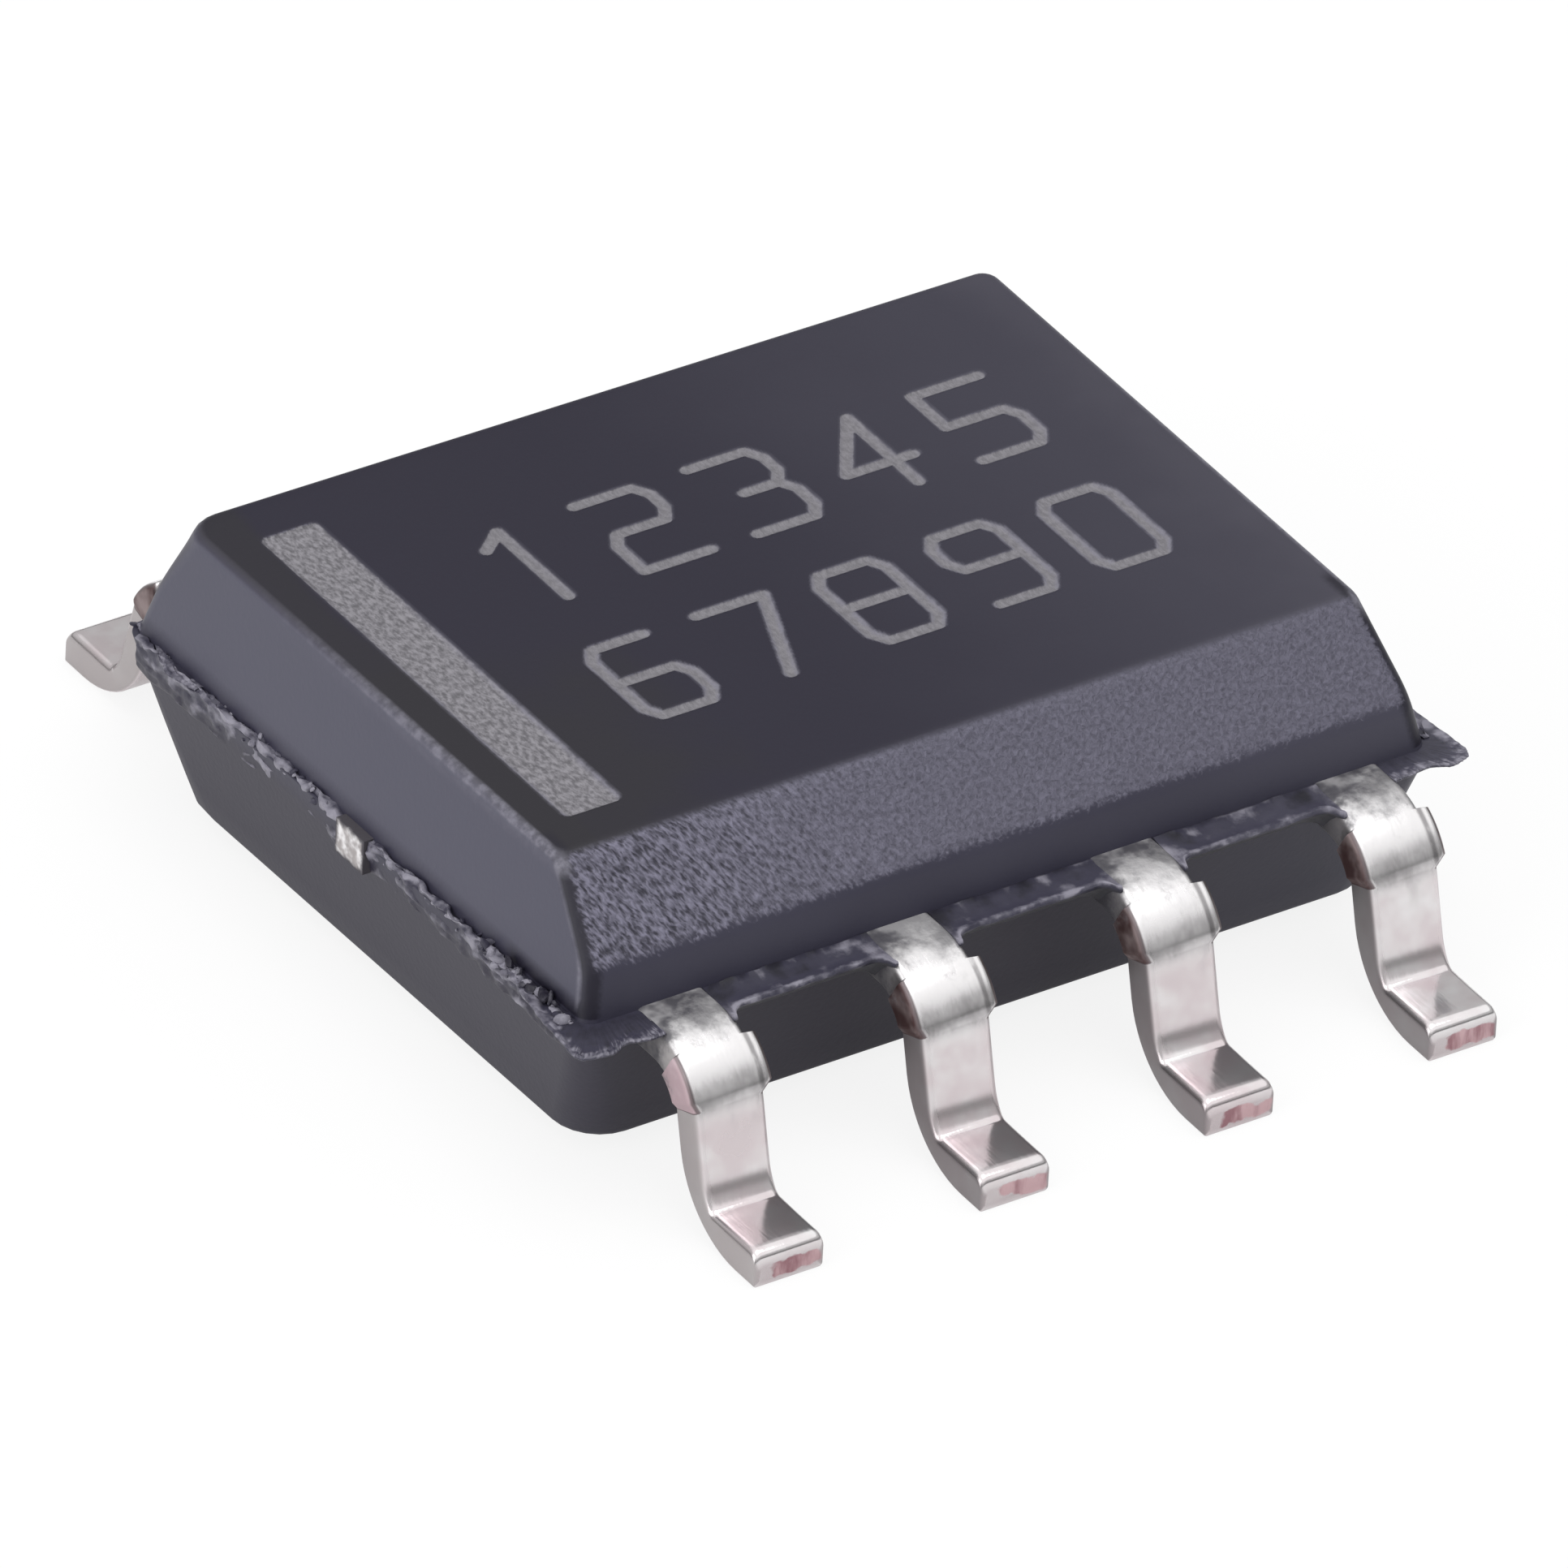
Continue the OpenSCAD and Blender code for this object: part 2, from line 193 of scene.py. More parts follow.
# %% [markdown]
# ## Mesh helpers
#
# A moulded body is easiest to describe as a stack of rings: outlines at rising heights, joined by
# faces. A draft is then a ring that shrinks with height, and a rounded edge is a few rings close
# together. Every finished mesh goes through `finished`, which turns millimetres into metres, marks
# sharp edges and weights its normals, so that flat faces look flat.

# %% Mesh helpers
sharp_angle = math.radians(38)


def arc(cx, cy, radius, start, end, steps):
    """Points on an arc, from one angle to another, in degrees."""
    angles = [math.radians(start + (end - start) * i / steps) for i in range(steps + 1)]
    return [(cx + radius * math.cos(a), cy + radius * math.sin(a)) for a in angles]


def rounded_outline(half_x, front, back, radius, back_left=0, steps=6):
    """A rectangle with round corners, from -front to back along Y, anticlockwise.

    back_left is what the corner at -X and +Y has on top of the radius of the others.
    """
    r, s = radius, radius + back_left
    return (arc(half_x - r, back - r, r, 0, 90, steps) + arc(s - half_x, back - s, s, 90, 180, steps)
            + arc(r - half_x, r - front, r, 180, 270, steps)
            + arc(half_x - r, r - front, r, 270, 360, steps))


def bump_at(value, centre, width):
    return math.exp(-((value - centre) / width) ** 2)


def smooth_step(value, low, high):
    t = min(max((value - low) / (high - low), 0), 1)
    return t * t * (3 - 2 * t)


def add_rings(bm, rings, close_low=True, close_high=True):
    """Joins rings of (x, y, z) points, lowest first, and returns the rows of vertices."""
    rows = [[bm.verts.new(p) for p in ring] for ring in rings]
    count = len(rows[0])
    for low, high in zip(rows, rows[1:]):
        for i in range(count):
            j = (i + 1) % count
            bm.faces.new((low[i], low[j], high[j], high[i])).smooth = True
    if close_low:
        bm.faces.new(list(reversed(rows[0])))
    if close_high:
        bm.faces.new(rows[-1])
    return rows


def object_from(bm, name):
    mesh = bpy.data.meshes.new(name)
    bm.to_mesh(mesh)
    bm.free()
    made = bpy.data.objects.new(name, mesh)
    scene.collection.objects.link(made)
    return made


def evaluated_mesh(obj):
    """Turns what the modifiers make into a plain mesh, and removes them."""
    graph = bpy.context.evaluated_depsgraph_get()
    mesh = bpy.data.meshes.new_from_object(obj.evaluated_get(graph), depsgraph=graph)
    obj.modifiers.clear()
    obj.data = mesh
    return mesh


def finished(obj, material):
    mesh = obj.data
    mesh.transform(Matrix.Scale(MM, 4))
    mesh.set_sharp_from_angle(angle=sharp_angle)
    weighting = obj.modifiers.new("even normals", "WEIGHTED_NORMAL")
    weighting.keep_sharp = True
    evaluated_mesh(obj)
    obj.data.name = obj.name
    obj.data.materials.clear()
    obj.data.materials.append(material)
    print(f"{obj.name}: {len(obj.data.polygons)} faces")
    return obj


# %% [markdown]
# ## The resin compound
#
# Mould compound is epoxy packed with ground silica. It comes out of a smooth tool nearly black and
# matt, and out of a spark-eroded tool with a coarse, lighter grain. A laser turns it grey. One
# material covers all of these: masks stored on the mesh say where each finish lies.

# %% Material helpers
def surface(name):
    """A new material: its tree, its shader node and its own coordinates in millimetres."""
    material = bpy.data.materials.new(name)
    material.use_nodes = True
    tree = Tree(material.node_tree)
    shader = material.node_tree.nodes["Principled BSDF"]
    place = tree.node("ShaderNodeTexCoord", out="Object")
    place = tree.node("ShaderNodeVectorMath", {"operation": "SCALE"}, {0: place, "Scale": 1 / MM})
    return material, tree, shader, place


def axes(tree, place):
    return [tree.node("ShaderNodeSeparateXYZ", None, {0: place}, out=axis) for axis in "XYZ"]


def connect(tree, value, shader, name):
    tree.tree.links.new(value.socket, shader.inputs[name])


def emboss(tree, shader, relief, depth):
    """Turns a relief into bumps of a depth in millimetres."""
    bump = tree.node("ShaderNodeBump", None, {"Height": relief, "Distance": depth * MM, "Strength": 1.0})
    connect(tree, bump, shader, "Normal")


def noise(tree, place, scale, detail=3, roughness=0.5, stretch=(1, 1, 1), distortion=0):
    if stretch != (1, 1, 1):
        place = tree.node("ShaderNodeVectorMath", {"operation": "MULTIPLY"}, {0: place, 1: stretch})
    return tree.node("ShaderNodeTexNoise", None,
                     {"Vector": place, "Scale": scale, "Detail": detail, "Roughness": roughness,
                      "Distortion": distortion}, out="Fac")


def stored(tree, name):
    return tree.node("ShaderNodeAttribute", {"attribute_name": name}, out="Fac")


# %% Resin: the plain moulded faces
def moulded_colour(tree, x, y, z, cloud, end_wall):
    """Sides, top, lower half and end walls, much of it with painted light, shade and reflection. The top
    is paler towards +X and darker in patches by the bar.
    """
    across = x + (cloud - 0.5) * 0.9
    darker_patches = (tree.ramp_up(x + (cloud - 0.5) * 2.2, -0.9, -1.6)
              * tree.ramp_up(y + (cloud - 0.5) * 1.4, 0.3, -0.5))
    darker_patches = darker_patches + tree.ramp_up(x + (cloud - 0.5) * 0.3, -2.0, -2.1)
    # Painted reflection: the top is darker by the bar and paler towards +X, where it would mirror more of
    # the room.
    top = tree.mix_colours(tree.ramp_up(across, -0.5, 1.9), (0.0115, 0.0095, 0.023), (0.031, 0.029, 0.046))
    top = tree.coats(top, (tree.ramp_up(across, 1.7, 2.5), (0.054, 0.051, 0.07)),
                     (darker_patches * 0.8, (0.0135, 0.012, 0.0175)))
    # Painted shade: the lower half, which faces down, is made darker.
    low = tree.ramp_up(z, frame_top - 0.05, frame_low - 0.05)
    # Painted light: the lower half near the ends and the end walls are made paler, as if lit from the
    # side.
    near_end = tree.ramp_up(end_x - abs(x), 0.45, 0.1)
    # Painted light: the front wall is made paler towards +X.
    painted_light_right = tree.ramp_up(x, 0.2, 2.3) * tree.ramp_up(y, -1.5, -1.75)
    sides = tree.mix_colours(tree.ramp_up(cloud, 0.35, 0.7), (0.033, 0.031, 0.051), (0.039, 0.037, 0.059))
    return tree.coats(
        sides,
        (tree.ramp_up(z, body_top - 0.03, body_top), top),
        (low * 0.9, (0.0175, 0.0138, 0.0265)),
        (low * near_end * 0.8, (0.029, 0.0265, 0.042)),
        (painted_light_right * (0.45 + tree.ramp_up(z, 0.9, 0.7) * 0.35), (0.065, 0.063, 0.088)),
        # painted light on the end walls
        (end_wall * 0.85, (0.077, 0.076, 0.107)))


# %% [markdown]
# The spark-eroded bevel is a cast of the mould's own skin of tiny craters. At the end with the bar
# the grain is drawn out into creases, and further along the lumps are round. One noise field
# drives both the colour and the bumps. The colour is partly the grain's own speckle and partly
# painted light on the high spots and painted shade in the hollows.

# %% Resin: the eroded bevel
def eroded_grain(tree, place, x, cloud):
    """Height, strength and colour of the bevel's grain; the colour holds painted light on the crests."""
    tilted = tree.node("ShaderNodeMapping", None,
                       {"Vector": place, "Rotation": (math.radians(-45), 0, math.radians(-29))})
    crinkle = noise(tree, tilted, 62, 2, 0.45, stretch=(1, 0.37, 1), distortion=0.3)
    pebble = noise(tree, tilted, 42, 2, 0.6, distortion=0.6)
    creased = tree.ramp_up(x + (cloud - 0.5) * 1.2, 0.1, -1.6)
    grain = crinkle * creased + pebble * (1 - creased)
    strength = 0.45 + creased * 0.55
    # Painted light and shade: high spots of the grain are made paler and hollows darker.
    painted_crest_light = tree.ramp_up(0.5 + (grain - 0.5) * strength, 0.28, 0.72)
    colour = tree.mix_colours(painted_crest_light, (0.028, 0.0265, 0.04), (0.185, 0.178, 0.24))
    return grain, strength, tree.mix_colours((1 - creased) * 0.35, colour, (0.078, 0.075, 0.104))


def bevel_masks(tree, x, y, z, grain, coarse, corner, end_wall):
    """Where the bevel is eroded, and the painted shade on the smooth strip beside it and on the upright
    corners.
    """
    margin = end_x - (z - frame_top) * end_draft - abs(x)
    ragged = (grain - 0.5) * 0.09
    eroded = (coarse * tree.ramp_up(margin + ragged, 0.035, 0.075)
              * tree.ramp_up(z + ragged, bevel_foot_z - 0.02, bevel_foot_z + 0.02))
    beside = (tree.ramp_up(margin + ragged * 0.3, 0.11, 0.06) * tree.ramp_up(y, -1.2, -1.3)
              * tree.ramp_up(z, frame_top + 0.004, frame_top + 0.012))
    return eroded, beside.sums("MAXIMUM", beside, corner) * (1 - eroded) * (1 - end_wall)


# %% [markdown]
# A laser chars the resin to a pale grey. The wide bar is filled with many passes and comes out
# mottled, and a digit is one pass with a more even tone.

# %% Resin: the whole material
bar_end = -1.74  # the bar's edge on the side of the digits


def laser_burn(tree, place, x, laser):
    """Height, mask and colour of the marks."""
    scorch = noise(tree, place, 44, 2, 0.6, stretch=(1, 0.5, 1))
    mottle = tree.ramp_up(x, bar_end + 0.3, bar_end) * 0.6 + 0.4
    colour = tree.mix_colours(0.5 + (tree.ramp_up(scorch, 0.3, 0.7) - 0.5) * mottle,
                              (0.108, 0.104, 0.115), (0.245, 0.236, 0.258))
    return scorch, tree.ramp_up(laser + (scorch - 0.5) * 0.3, 0.12, 0.6), colour


def make_resin():
    material, tree, shader, place = surface("resin")
    laser, coarse, chalk, crease, end_wall, edge, corner = (
        stored(tree, n) for n in ("laser", "coarse", "chalk", "crease", "end_wall", "edge", "corner"))
    x, y, z = axes(tree, place)
    cloud, ragged_noise, fine = (noise(tree, place, *kind) for kind in ((1.1, 3, 0.5), (16, 3, 0.6), (34, 2, 0.5)))
    grain, strength, eroded_colour = eroded_grain(tree, place, x, cloud)
    eroded, painted_strip_shade = bevel_masks(tree, x, y, z, grain, coarse, corner, end_wall)
    scorch, marked, burnt = laser_burn(tree, place, x, laser)
    # Painted highlight along the top edge and down the corner rims, stronger towards -Y.
    painted_edge_highlight = (0.15 + tree.ramp_up(y, 1.4, -0.4) * 0.25
            + tree.ramp_up(ragged_noise, 0.35, 0.7) * tree.ramp_up(y, 1.4, -0.8) * 0.6)
    colour = tree.coats(
        moulded_colour(tree, x, y, z, cloud, end_wall),
        # Painted shade: the smooth strip beside the bevel and the upright corners are darkened.
        (painted_strip_shade * 0.88, (0.0075, 0.006, 0.0145)),
        (eroded, eroded_colour),
        (marked, burnt),
        # Chalk on the crumbs, and painted highlights on the rims and lumps of the webs, bands and flash.
        (tree.ramp_up(chalk + (ragged_noise - 0.5) * 0.9, 0.3, 0.95) * 0.9, (0.27, 0.26, 0.31)),
        (edge * painted_edge_highlight, (0.18, 0.175, 0.215)),
        # Painted shade in the creases and hollows of the ledges, under the webs and in the parting crease.
        (tree.ramp_up(crease + (ragged_noise - 0.5) * 0.5, 0.35, 0.9) * 0.8, (0.008, 0.0075, 0.011)))
    relief = (fine - 0.5) * 0.06 + (grain - 0.5) * eroded * strength + (scorch - 0.5) * marked * 0.35
    emboss(tree, shader, relief, 0.02)
    connect(tree, colour, shader, "Base Color")
    connect(tree, 0.46 + eroded * 0.16 + marked * 0.2, shader, "Roughness")
    shader.inputs["Specular IOR Level"].default_value = 0.36
    return material


resin = make_resin()
print("resin material:", len(resin.node_tree.nodes), "nodes")

# %% [markdown]
# ## Upper half of the body
#
# The mould opens at the top of the leads, so the upper half narrows upwards. Along the pin 1 side
# its wall turns into a 45 degree bevel. Each ring of the stack works out how far that side reaches
# at its own height, and a soft minimum between wall and bevel gives the edge its radius.

# %% Upper half
edge_radius = 0.045
upper_corner, worn_corner = 0.09, 0.11  # the corner at -X and +Y is worn rounder than the others
bevel_foot_y = side_y - (bevel_foot_z - frame_top) * upper_draft


def soft_min(a, b, radius):
    gap = max(radius - abs(a - b), 0) / radius
    return min(a, b) - gap * gap * radius / 4


def front_reach(z):
    wall = side_y - (z - frame_top) * upper_draft
    slope = bevel_foot_y - (z - bevel_foot_z)
    return soft_min(wall, slope, 0.05)


def swollen(x, y, z):
    """The corner at -X and +Y sits a little further out, more so low down: the body is warped."""
    share = max(frame_top - z, 0) / (frame_top - standoff)
    return (x - (0.03 + 0.035 * share) * smooth_step(y, 0.4, 1.8) * (x < 0),
            y + (0.05 + 0.08 * share) * smooth_step(-x, 0.5, 2.2) * (y > 0), z)


def upper_ring(z, inset):
    rise = z - frame_top
    outline = rounded_outline(end_x - rise * end_draft - inset, front_reach(z) - inset,
                              side_y - rise * upper_draft - inset, max(upper_corner - inset, 0.012),
                              worn_corner * smooth_step(rise, 0.2, 0.64))
    return [swollen(x, y, z) for x, y in outline]


def edge_steps(radius, steps=5):
    """Height below the top and inset of each ring of a rounded edge, from the wall inwards."""
    turns = [math.pi / 2 * i / steps for i in range(steps + 1)]
    return [(radius * (1 - math.sin(t)), radius * (1 - math.cos(t))) for t in turns]


wall_heights = [frame_top - 0.05, frame_top + 0.02, frame_top + 0.1]
wall_heights += [bevel_foot_z + 0.012 * i for i in range(-5, 6)]
wall_heights += [bevel_foot_z + (bevel - edge_radius) * (0.2 + 0.13 * i) for i in range(6)]
upper_rings = [upper_ring(z, 0) for z in wall_heights]
upper_rings += [upper_ring(body_top - drop, inset) for drop, inset in edge_steps(edge_radius)]

shell = bmesh.new()
upper_rows = add_rings(shell, upper_rings, close_high=False)
top_row = upper_rows[-1]
print("upper half:", len(upper_rings), "rings of", len(top_row), "points")

# %% [markdown]
# ## Lower half of the body
#
# The lower half is a little larger where the halves meet, because the two tools never line up
# exactly, and its corners grow rounder towards the underside.

# %% Lower half
parting_corner, bottom_corner, worn_bottom = 0.1, 0.26, 0.28


def lower_wall(depth, base, draft):
    """How far the lower half reaches at a depth below the parting plane."""
    return base + half_step - depth * draft


def lower_ring(z, inset):
    depth = frame_top - z
    share = depth / (frame_top - standoff)
    half_y = lower_wall(depth, side_y, lower_draft) - inset
    outline = rounded_outline(
        lower_wall(depth, end_x, end_draft) - inset, half_y, half_y,
        max(parting_corner + (bottom_corner - parting_corner) * share - inset, 0.02), worn_bottom * share)
    return [swollen(x, y, z) for x, y in outline]


lower_rings = [lower_ring(standoff + drop, inset) for drop, inset in reversed(edge_steps(0.04))]
lower_rings += [lower_ring(standoff + (frame_top - standoff) * share, 0) for share in (0.2, 0.5, 0.8)]
lower_rings += [lower_ring(frame_top - 0.02 - drop, inset) for drop, inset in edge_steps(0.012, 3)]
add_rings(shell, lower_rings)
print("lower half:", len(lower_rings), "rings")

# %% [markdown]
# ## Laser marking
#
# A laser writes with single strokes, so each digit is a short path. The digits here are plain
# counting digits. The strokes and the orientation bar become a small target mesh. A fine grid on
# the top face then asks Geometry Nodes how far each of its points is from that target: near points
# sink by the depth of the mark and carry the mask that the resin material reads. That gives soft,
# slightly uneven edges, which a cut outline wouldn't have.

# %% Strokes and bar
top_x = end_x - (body_top - frame_top) * end_draft
top_back = side_y - (body_top - frame_top) * upper_draft
top_front = bevel_foot_y - bevel
top_middle = (top_back - top_front) / 2

bar_width, bar_length, bar_gap = 0.31, 2.66, 0.22
digit_height, digit_width, digit_step, row_step = 0.62, 0.38, 0.64, 1.06
stroke_width, mark_depth = 0.06, 0.012
digits_x = -top_x + bar_gap + bar_width + 0.5
cut, mid = 0.14, 0.52
loop = [(cut, 0), (1 - cut, 0), (1, cut), (1, 1 - cut), (1 - cut, 1), (cut, 1), (0, 1 - cut), (0, cut),
        (cut, 0)]
digit_paths = [
    [loop],
    [[(0.2, 0.82), (0.55, 1), (0.55, 0)]],
    [[(0, 1), (1 - cut, 1), (1, 1 - cut), (1, mid + cut), (1 - cut, mid), (cut, mid), (0, mid - cut),
      (0, 0), (1, 0)]],
    [[(0, 1), (1 - cut, 1), (1, 1 - cut), (1, mid + cut), (1 - cut, mid), (0.35, mid)],
     [(1 - cut, mid), (1, mid - cut), (1, cut), (1 - cut, 0), (0, 0)]],
    [[(0.72, 0), (0.72, 1), (0, 0.34), (1, 0.34)]],
    [[(1, 1), (0, 1), (0, mid), (1 - cut, mid), (1, mid - cut), (1, cut), (1 - cut, 0), (0, 0)]],
    [[(0.9, 1), (cut, 1), (0, 1 - cut), (0, cut), (cut, 0), (1 - cut, 0), (1, cut), (1, mid - cut),
      (1 - cut, mid), (0, mid)]],
    [[(0, 1), (1, 1), (0.35, 0)]],
    [loop, [(0, mid), (1, mid)]],
    [[(0.1, 0), (1 - cut, 0), (1, cut), (1, 1 - cut), (1 - cut, 1), (cut, 1), (0, 1 - cut),
      (0, mid + cut), (cut, mid), (1, mid)]],
]


def digit_place(index):
    """Lower left corner of a digit: two rows of five."""
    row = 0.5 if index < 5 else -0.5
    return digits_x + (index % 5) * digit_step, top_middle - digit_height / 2 + row * row_step


def make_strokes():
    bm = bmesh.new()
    for index in range(10):
        x, y = digit_place(index)
        for path in digit_paths[(index + 1) % 10]:
            verts = [bm.verts.new((x + u * digit_width, y + v * digit_height, body_top)) for u, v in path]
            for a, b in zip(verts, verts[1:]):
                bm.edges.new((a, b))
    return object_from(bm, "strokes")


def make_bar(margin):
    """The orientation bar as one face, drawn smaller by margin on every side."""
    bm = bmesh.new()
    x0, x1 = -top_x + bar_gap + margin, -top_x + bar_gap + bar_width - margin
    y0, y1 = top_middle - bar_length / 2 + margin, top_middle + bar_length / 2 - margin
    bm.faces.new([bm.verts.new((x, y, body_top)) for x, y in ((x0, y0), (x1, y0), (x1, y1), (x0, y1))])
    return object_from(bm, "bar")


strokes = make_strokes()
bar = make_bar(stroke_width / 2)
print("marking:", len(strokes.data.edges), "strokes and a bar")

# %% Top face grid
fine_step, wide_step = 0.0125, 0.12
panel_margin = 0.025


def lines(low, high, step):
    count = max(round((high - low) / step), 1)
    return [low + (high - low) * i / count for i in range(count + 1)]


def panel_lines(low, high, fine_low, fine_high, bar_edges):
    """Grid lines: fine across the digits, a few at the edges of the bar, and wide elsewhere."""
    places = set(lines(fine_low, fine_high, fine_step)) | {low, high}
    for edge in bar_edges:
        places |= {edge + fine_step * k for k in range(-3, 4)}
    places |= {v for v in lines(low, high, wide_step) if not fine_low < v < fine_high}
    kept = []
    for v in sorted(places):
        if not kept or v - kept[-1] > 0.004 or v == high:
            kept.append(v)
    return kept


def make_panel():
    x0, x1 = panel_margin - top_x + edge_radius, top_x - edge_radius - panel_margin
    y0, y1 = panel_margin - top_front + edge_radius, top_back - edge_radius - panel_margin
    room = 0.06
    first, last = digit_place(5), digit_place(4)
    xs = panel_lines(x0, x1, first[0] - room, last[0] + digit_width + room,
                     (-top_x + bar_gap, -top_x + bar_gap + bar_width))
    ys = panel_lines(y0, y1, first[1] - room, last[1] + digit_height + room,
                     (top_middle - bar_length / 2, top_middle + bar_length / 2))
    bm = bmesh.new()
    rows = [[bm.verts.new((x, y, body_top)) for x in xs] for y in ys]
    for low, high in zip(rows, rows[1:]):
        for i in range(len(xs) - 1):
            bm.faces.new((low[i], low[i + 1], high[i + 1], high[i])).smooth = True
    return object_from(bm, "panel")


panel = make_panel()
print("top face grid:", len(panel.data.vertices), "points")

# %% Sink the marks with Geometry Nodes
def node_group(name, inputs):
    """An empty Geometry Nodes tree with named inputs, its Tree and its group input wires."""
    group = bpy.data.node_groups.new(name, "GeometryNodeTree")
    group.interface.new_socket("Geometry", in_out="INPUT", socket_type="NodeSocketGeometry")
    for label, kind in inputs.items():
        group.interface.new_socket(label, in_out="INPUT", socket_type=kind)
    group.interface.new_socket("Geometry", in_out="OUTPUT", socket_type="NodeSocketGeometry")
    tree = Tree(group)
    source = group.nodes.new("NodeGroupInput")
    wires = {s.name: Wire(tree, s) for s in source.outputs if s.name}
    return group, tree, wires


def close_group(group, tree, geometry, material):
    """Gives the geometry its material and ends the tree."""
    dressed = tree.node("GeometryNodeSetMaterial", None, {"Geometry": geometry, "Material": material})
    end = group.nodes.new("NodeGroupOutput")
    group.links.new(dressed.socket, end.inputs["Geometry"])
    return group


def apply_group(obj, group, values):
    """Runs a tree on an object, its inputs set by their identifiers, and keeps the plain mesh."""
    modifier = obj.modifiers.new(group.name, "NODES")
    modifier.node_group = group
    for item in group.interface.items_tree:
        if item.in_out == "INPUT" and item.name in values:
            modifier[item.identifier] = values[item.name]
    return evaluated_mesh(obj)


def marking_group():
    group, tree, given = node_group("laser marking", {
        "Strokes": "NodeSocketObject", "Bar": "NodeSocketObject", "Width": "NodeSocketFloat",
        "Softness": "NodeSocketFloat", "Depth": "NodeSocketFloat", "Material": "NodeSocketMaterial"})
    stroke_mesh = tree.node("GeometryNodeObjectInfo", None, {"Object": given["Strokes"]}, out="Geometry")
    bar_mesh = tree.node("GeometryNodeObjectInfo", None, {"Object": given["Bar"]}, out="Geometry")
    to_stroke = tree.node("GeometryNodeProximity", {"target_element": "EDGES"}, {0: stroke_mesh},
                          out="Distance")
    to_bar = tree.node("GeometryNodeProximity", {"target_element": "FACES"}, {0: bar_mesh},
                       out="Distance")
    nearest = to_stroke.sums("MINIMUM", to_stroke, to_bar)
    mask = tree.ramp_up(nearest, given["Width"] / 2 + given["Softness"],
                        given["Width"] / 2 - given["Softness"])
    noted = tree.node("GeometryNodeStoreNamedAttribute", {"data_type": "FLOAT", "domain": "POINT"},
                      {"Geometry": given["Geometry"], "Name": "laser", "Value": mask})
    fall = tree.node("ShaderNodeCombineXYZ", None, {"Z": mask * given["Depth"] * -1})
    sunk = tree.node("GeometryNodeSetPosition", None, {"Geometry": noted, "Offset": fall})
    whole = tree.node("GeometryNodeRealizeInstances", None, {"Geometry": sunk})
    return close_group(group, tree, whole, given["Material"])


apply_group(panel, marking_group(), {"Strokes": strokes, "Bar": bar, "Width": stroke_width,
                                     "Softness": 0.012, "Depth": mark_depth, "Material": resin})
lowest = min(v.co.z for v in panel.data.vertices)
print(f"marks sink {body_top - lowest:.3f} mm")

# %% [markdown]
# The grid goes into the open top of the shell. The narrow frame of faces between the shell's last
# ring and the border of the grid is filled with triangles, so the top is one closed surface.

# %% Close the top
shell.from_mesh(panel.data)
for helper in (strokes, bar, panel):
    bpy.data.objects.remove(helper)
border = [e for e in shell.edges if e.is_boundary]
bmesh.ops.triangle_fill(shell, use_beauty=True, edges=border, normal=(0, 0, 1))
bmesh.ops.recalc_face_normals(shell, faces=shell.faces)
print("open edges left:", sum(e.is_boundary for e in shell.edges))

# %% [markdown]
# ## Resin left at the parting plane
#
# Resin fills the gap between neighbouring leads as far as the tie that joined them. When the tie is
# punched out, a thin web stays, with a crumbled upper edge that gets a painted highlight. Along the
# ends the flash was broken off and left a rough band. Both are ledges: a section carried along a
# path, with steady noise moving its points, so that no two stretches are alike.

# %% Ledges
into_wall = 0.1  # how deep every ledge is rooted in the body
layers = {name: shell.verts.layers.float.new(name)
          for name in ("coarse", "end_wall", "edge", "corner", "chalk", "crease")}


def wobble(x, y=0.5, z=0.5):
    """Steady noise between -1 and 1."""
    return mathutils.noise.noise(Vector((x, y, z + 0.37)))


def add_ledge(stations, profile, to_world, roughness, seed):
    """Carries profile(station) along the stations.

    profile returns (reach, height, chalk and painted highlight, painted shade, roughness share) for
    each point of the section, and to_world places a point from its station, reach and height. Lumps
    that stand out get more painted highlight, and hollows painted shade.
    """
    rings, notes = [], []
    for u in stations:
        ring = []
        for k, (reach, height, chalk, crease, share) in enumerate(profile(u)):
            size, seen = roughness * share, min(share, 1)
            lump = 1.3 * wobble(u * 11, k * 0.45, seed) + 0.35 * wobble(u * 33, k * 1.1, seed + 5)
            reach += size * lump
            height += size * wobble(u * 9, k * 0.5, seed + 9) + 0.3 * size * wobble(u * 37, k, seed + 14)
            ring.append(to_world(u, reach, height))
            notes.append((chalk + max(lump, 0) * seen * 0.7, crease - min(lump, 0) * seen * 0.5))
        rings.append(ring)
    rows = add_rings(shell, rings)
    for vert, (chalk, crease) in zip((v for row in rows for v in row), notes):
        vert[layers["chalk"]], vert[layers["crease"]] = chalk, crease


# %% Webs between the leads
web_out, web_fillet = 0.21, 0.08
web_half = (pitch - lead_width) / 2


